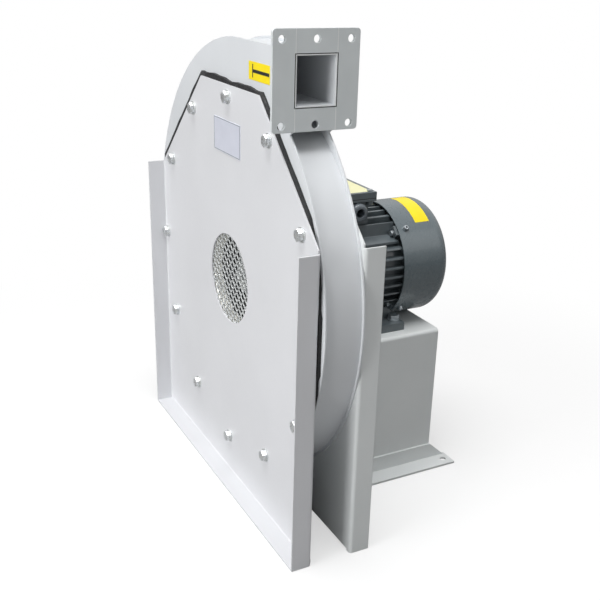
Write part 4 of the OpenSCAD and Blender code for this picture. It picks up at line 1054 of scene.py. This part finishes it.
@dataclass
class Studio:
    """Camera, lamps, world and floor.

    Attributes:
        view: The photograph's camera.
        sensor: Sensor width.
        clip: Nearest and furthest distance that the camera sees, in metres.
        ambient: Level of the world's light on matt faces.
        horizon: Level of what gloss mirrors near the horizon; overhead it mirrors white.
        key_level: Level that the front lamp adds on a face square to it.
        key_turn: Angle of the front lamp from straight in front towards the outlet, in degrees.
        key_rise: Height of the front lamp over the horizon, in degrees.
        key_distance: Distance of the front lamp, in metres.
        key_side: Side of the front lamp, in metres.
        top_place: Place of the top lamp, in metres.
        top_side: Side of the top lamp, in metres.
        top_level: Level that the top lamp adds on a level face.
        side_place: Place of the lamp behind the outlet, in metres.
        side_side: Side of that lamp, in metres.
        side_level: Level that it adds on a face square to it.
        aim: Point that the lamps are turned to, in metres.
        white_rise: Height of direction from which gloss mirrors white, as the sine of its angle.
        floor_reach: Half the side of the floor, in metres.
        shadow_reach: Where the floor starts to fade into white and where it has, in metres from the middle.
        floor_tone: Tone of the floor in the picture.
        bounce: Share of the light that the floor throws back at the object.
        shadow_share: Depth of the object's shadow on the floor.
    """

    view: Viewpoint = Viewpoint()
    sensor: float = 36.0
    clip: tuple[float, float] = (0.01, 50.0)
    ambient: float = 0.21
    horizon: float = 0.45
    key_level: float = 0.60
    key_turn: float = 11.0
    key_rise: float = 19.0
    key_distance: float = 3.2
    key_side: float = 1.5
    top_place: tuple[float, float, float] = (0.25, -0.5, 3.2)
    top_side: float = 2.0
    top_level: float = 1.05
    side_place: tuple[float, float, float] = (1.5, 1.1, 1.5)
    side_side: float = 1.2
    side_level: float = 0.06
    aim: tuple[float, float, float] = (0.0, 0.0, 0.3)
    white_rise: float = 0.7
    floor_reach: float = 6.0
    shadow_reach: tuple[float, float] = (0.3, 0.9)
    floor_tone: float = 0.94
    bounce: float = 0.33
    shadow_share: float = 0.45

    def build(self) -> None:
        """Make the camera, the lamps, the world and the floor."""
        bpy.context.scene.view_settings.view_transform = "Standard"
        self.camera()
        turn, rise = math.radians(self.key_turn), math.radians(self.key_rise)
        key = Vector((math.sin(turn) * math.cos(rise), -math.cos(turn) * math.cos(rise), math.sin(rise)))
        self.lamp("front_lamp", tuple(key * self.key_distance), self.key_side, self.key_level)
        self.lamp("top_lamp", self.top_place, self.top_side, self.top_level)
        self.lamp("side_lamp", self.side_place, self.side_side, self.side_level)
        self.world()
        self.floor()

    def camera(self) -> None:
        """Make the scene's camera at the photograph's place."""
        data = bpy.data.cameras.new("camera")
        data.sensor_width = self.sensor
        data.lens = self.sensor * self.view.focal_pixels / self.view.image_pixels
        middle = self.view.image_pixels / 2
        data.shift_x = -(self.view.centre_pixels[0] - middle) / self.view.image_pixels
        data.shift_y = (self.view.centre_pixels[1] - middle) / self.view.image_pixels
        data.clip_start, data.clip_end = self.clip
        camera = new_object("camera", data)
        camera.matrix_world = self.view.matrix()
        bpy.context.scene.camera = camera

    def lamp(self, name: str, place: tuple[float, float, float], side: float, level: float) -> None:
        """Make a square soft lamp aimed at the object.

        Args:
            name: Name of the lamp.
            place: Its place in metres.
            side: Length of its side in metres.
            level: Brightness of a white face square to it at the object.
        """
        ray = Vector(place) - Vector(self.aim)
        data = bpy.data.lights.new(name, "AREA")
        data.shape = "SQUARE"
        data.size = side
        data.energy = level * math.pi ** 2 * ray.length_squared
        turn = ray.to_track_quat("Z", "Y").to_matrix().to_4x4()
        new_object(name, data).matrix_world = Matrix.Translation(place) @ turn

    def world(self) -> None:
        """Light softly from all round, and show plain white to the camera and in mirrors."""
        world = bpy.data.worlds.new("studio")
        bpy.context.scene.world = world
        tree = blank_tree(world)
        rays = add_node(tree, "ShaderNodeLightPath").outputs
        height = add_node(tree, "ShaderNodeSeparateXYZ", inputs={
            0: add_node(tree, "ShaderNodeTexCoord").outputs["Generated"],
        }).outputs["Z"]
        mirrored = ranged(tree, height, (0.0, self.white_rise), (self.horizon, 1.0), "SMOOTHSTEP")
        glossy = ranged(tree, rays["Is Glossy Ray"], (0.0, 1.0), (self.ambient, mirrored))
        level = ranged(tree, rays["Is Camera Ray"], (0.0, 1.0), (glossy, 1.0))
        light = add_node(tree, "ShaderNodeBackground", inputs={"Color": WHITE, "Strength": level})
        add_node(tree, "ShaderNodeOutputWorld", inputs={"Surface": light.outputs["Background"]})

    def floor(self) -> None:
        """Make a white floor that keeps the object's shadow and fades into the white around."""
        bm = bmesh.new()
        bmesh.ops.create_grid(bm, x_segments=1, y_segments=1, size=self.floor_reach)
        floor = mesh_object("floor", bm)
        material = bpy.data.materials.new("studio_floor")
        tree = blank_tree(material)
        place = add_node(tree, "ShaderNodeTexCoord").outputs["Object"]
        distance = operate(tree, VECTOR_MATH, "LENGTH", place).outputs["Value"]
        far = ranged(tree, distance, self.shadow_reach, (0.0, 1.0), "SMOOTHSTEP")
        camera = add_node(tree, "ShaderNodeLightPath").outputs["Is Camera Ray"]
        tone = ranged(tree, camera, (0.0, 1.0), (self.bounce, self.floor_tone))
        matt = add_node(tree, "ShaderNodeBsdfDiffuse", inputs={"Color": tone})
        white = add_node(tree, "ShaderNodeEmission", inputs={"Color": WHITE, "Strength": 1.0})
        fading = ranged(tree, far, (0.0, 1.0), (1.0 - self.shadow_share, 1.0))
        share = operate(tree, MATH, "MULTIPLY", fading, camera).outputs[0]
        mixed = add_node(tree, "ShaderNodeMixShader", inputs={
            "Fac": share, 1: matt.outputs["BSDF"], 2: white.outputs["Emission"],
        })
        add_node(tree, "ShaderNodeOutputMaterial", inputs={"Surface": mixed.outputs["Shader"]})
        floor.data.materials.append(material)


def main() -> None:
    """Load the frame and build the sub-assemblies in order."""
    logging.basicConfig(level=logging.INFO, format="%(name)s: %(message)s")
    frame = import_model()
    Studio().build()
    shaft = Vector(frame["record"]["behaviour"]["joints"][0]["pos_m"])
    wardrobe = Wardrobe(shaft)
    datum = Datum(shaft.x, corners("panel_gasket")[0].y)
    for kind in (Panels, Scroll, Inlet, Rotor, Motor, Stool):
        kind(wardrobe, frame["nodes"], datum).build()


if __name__ == "__main__":
    main()
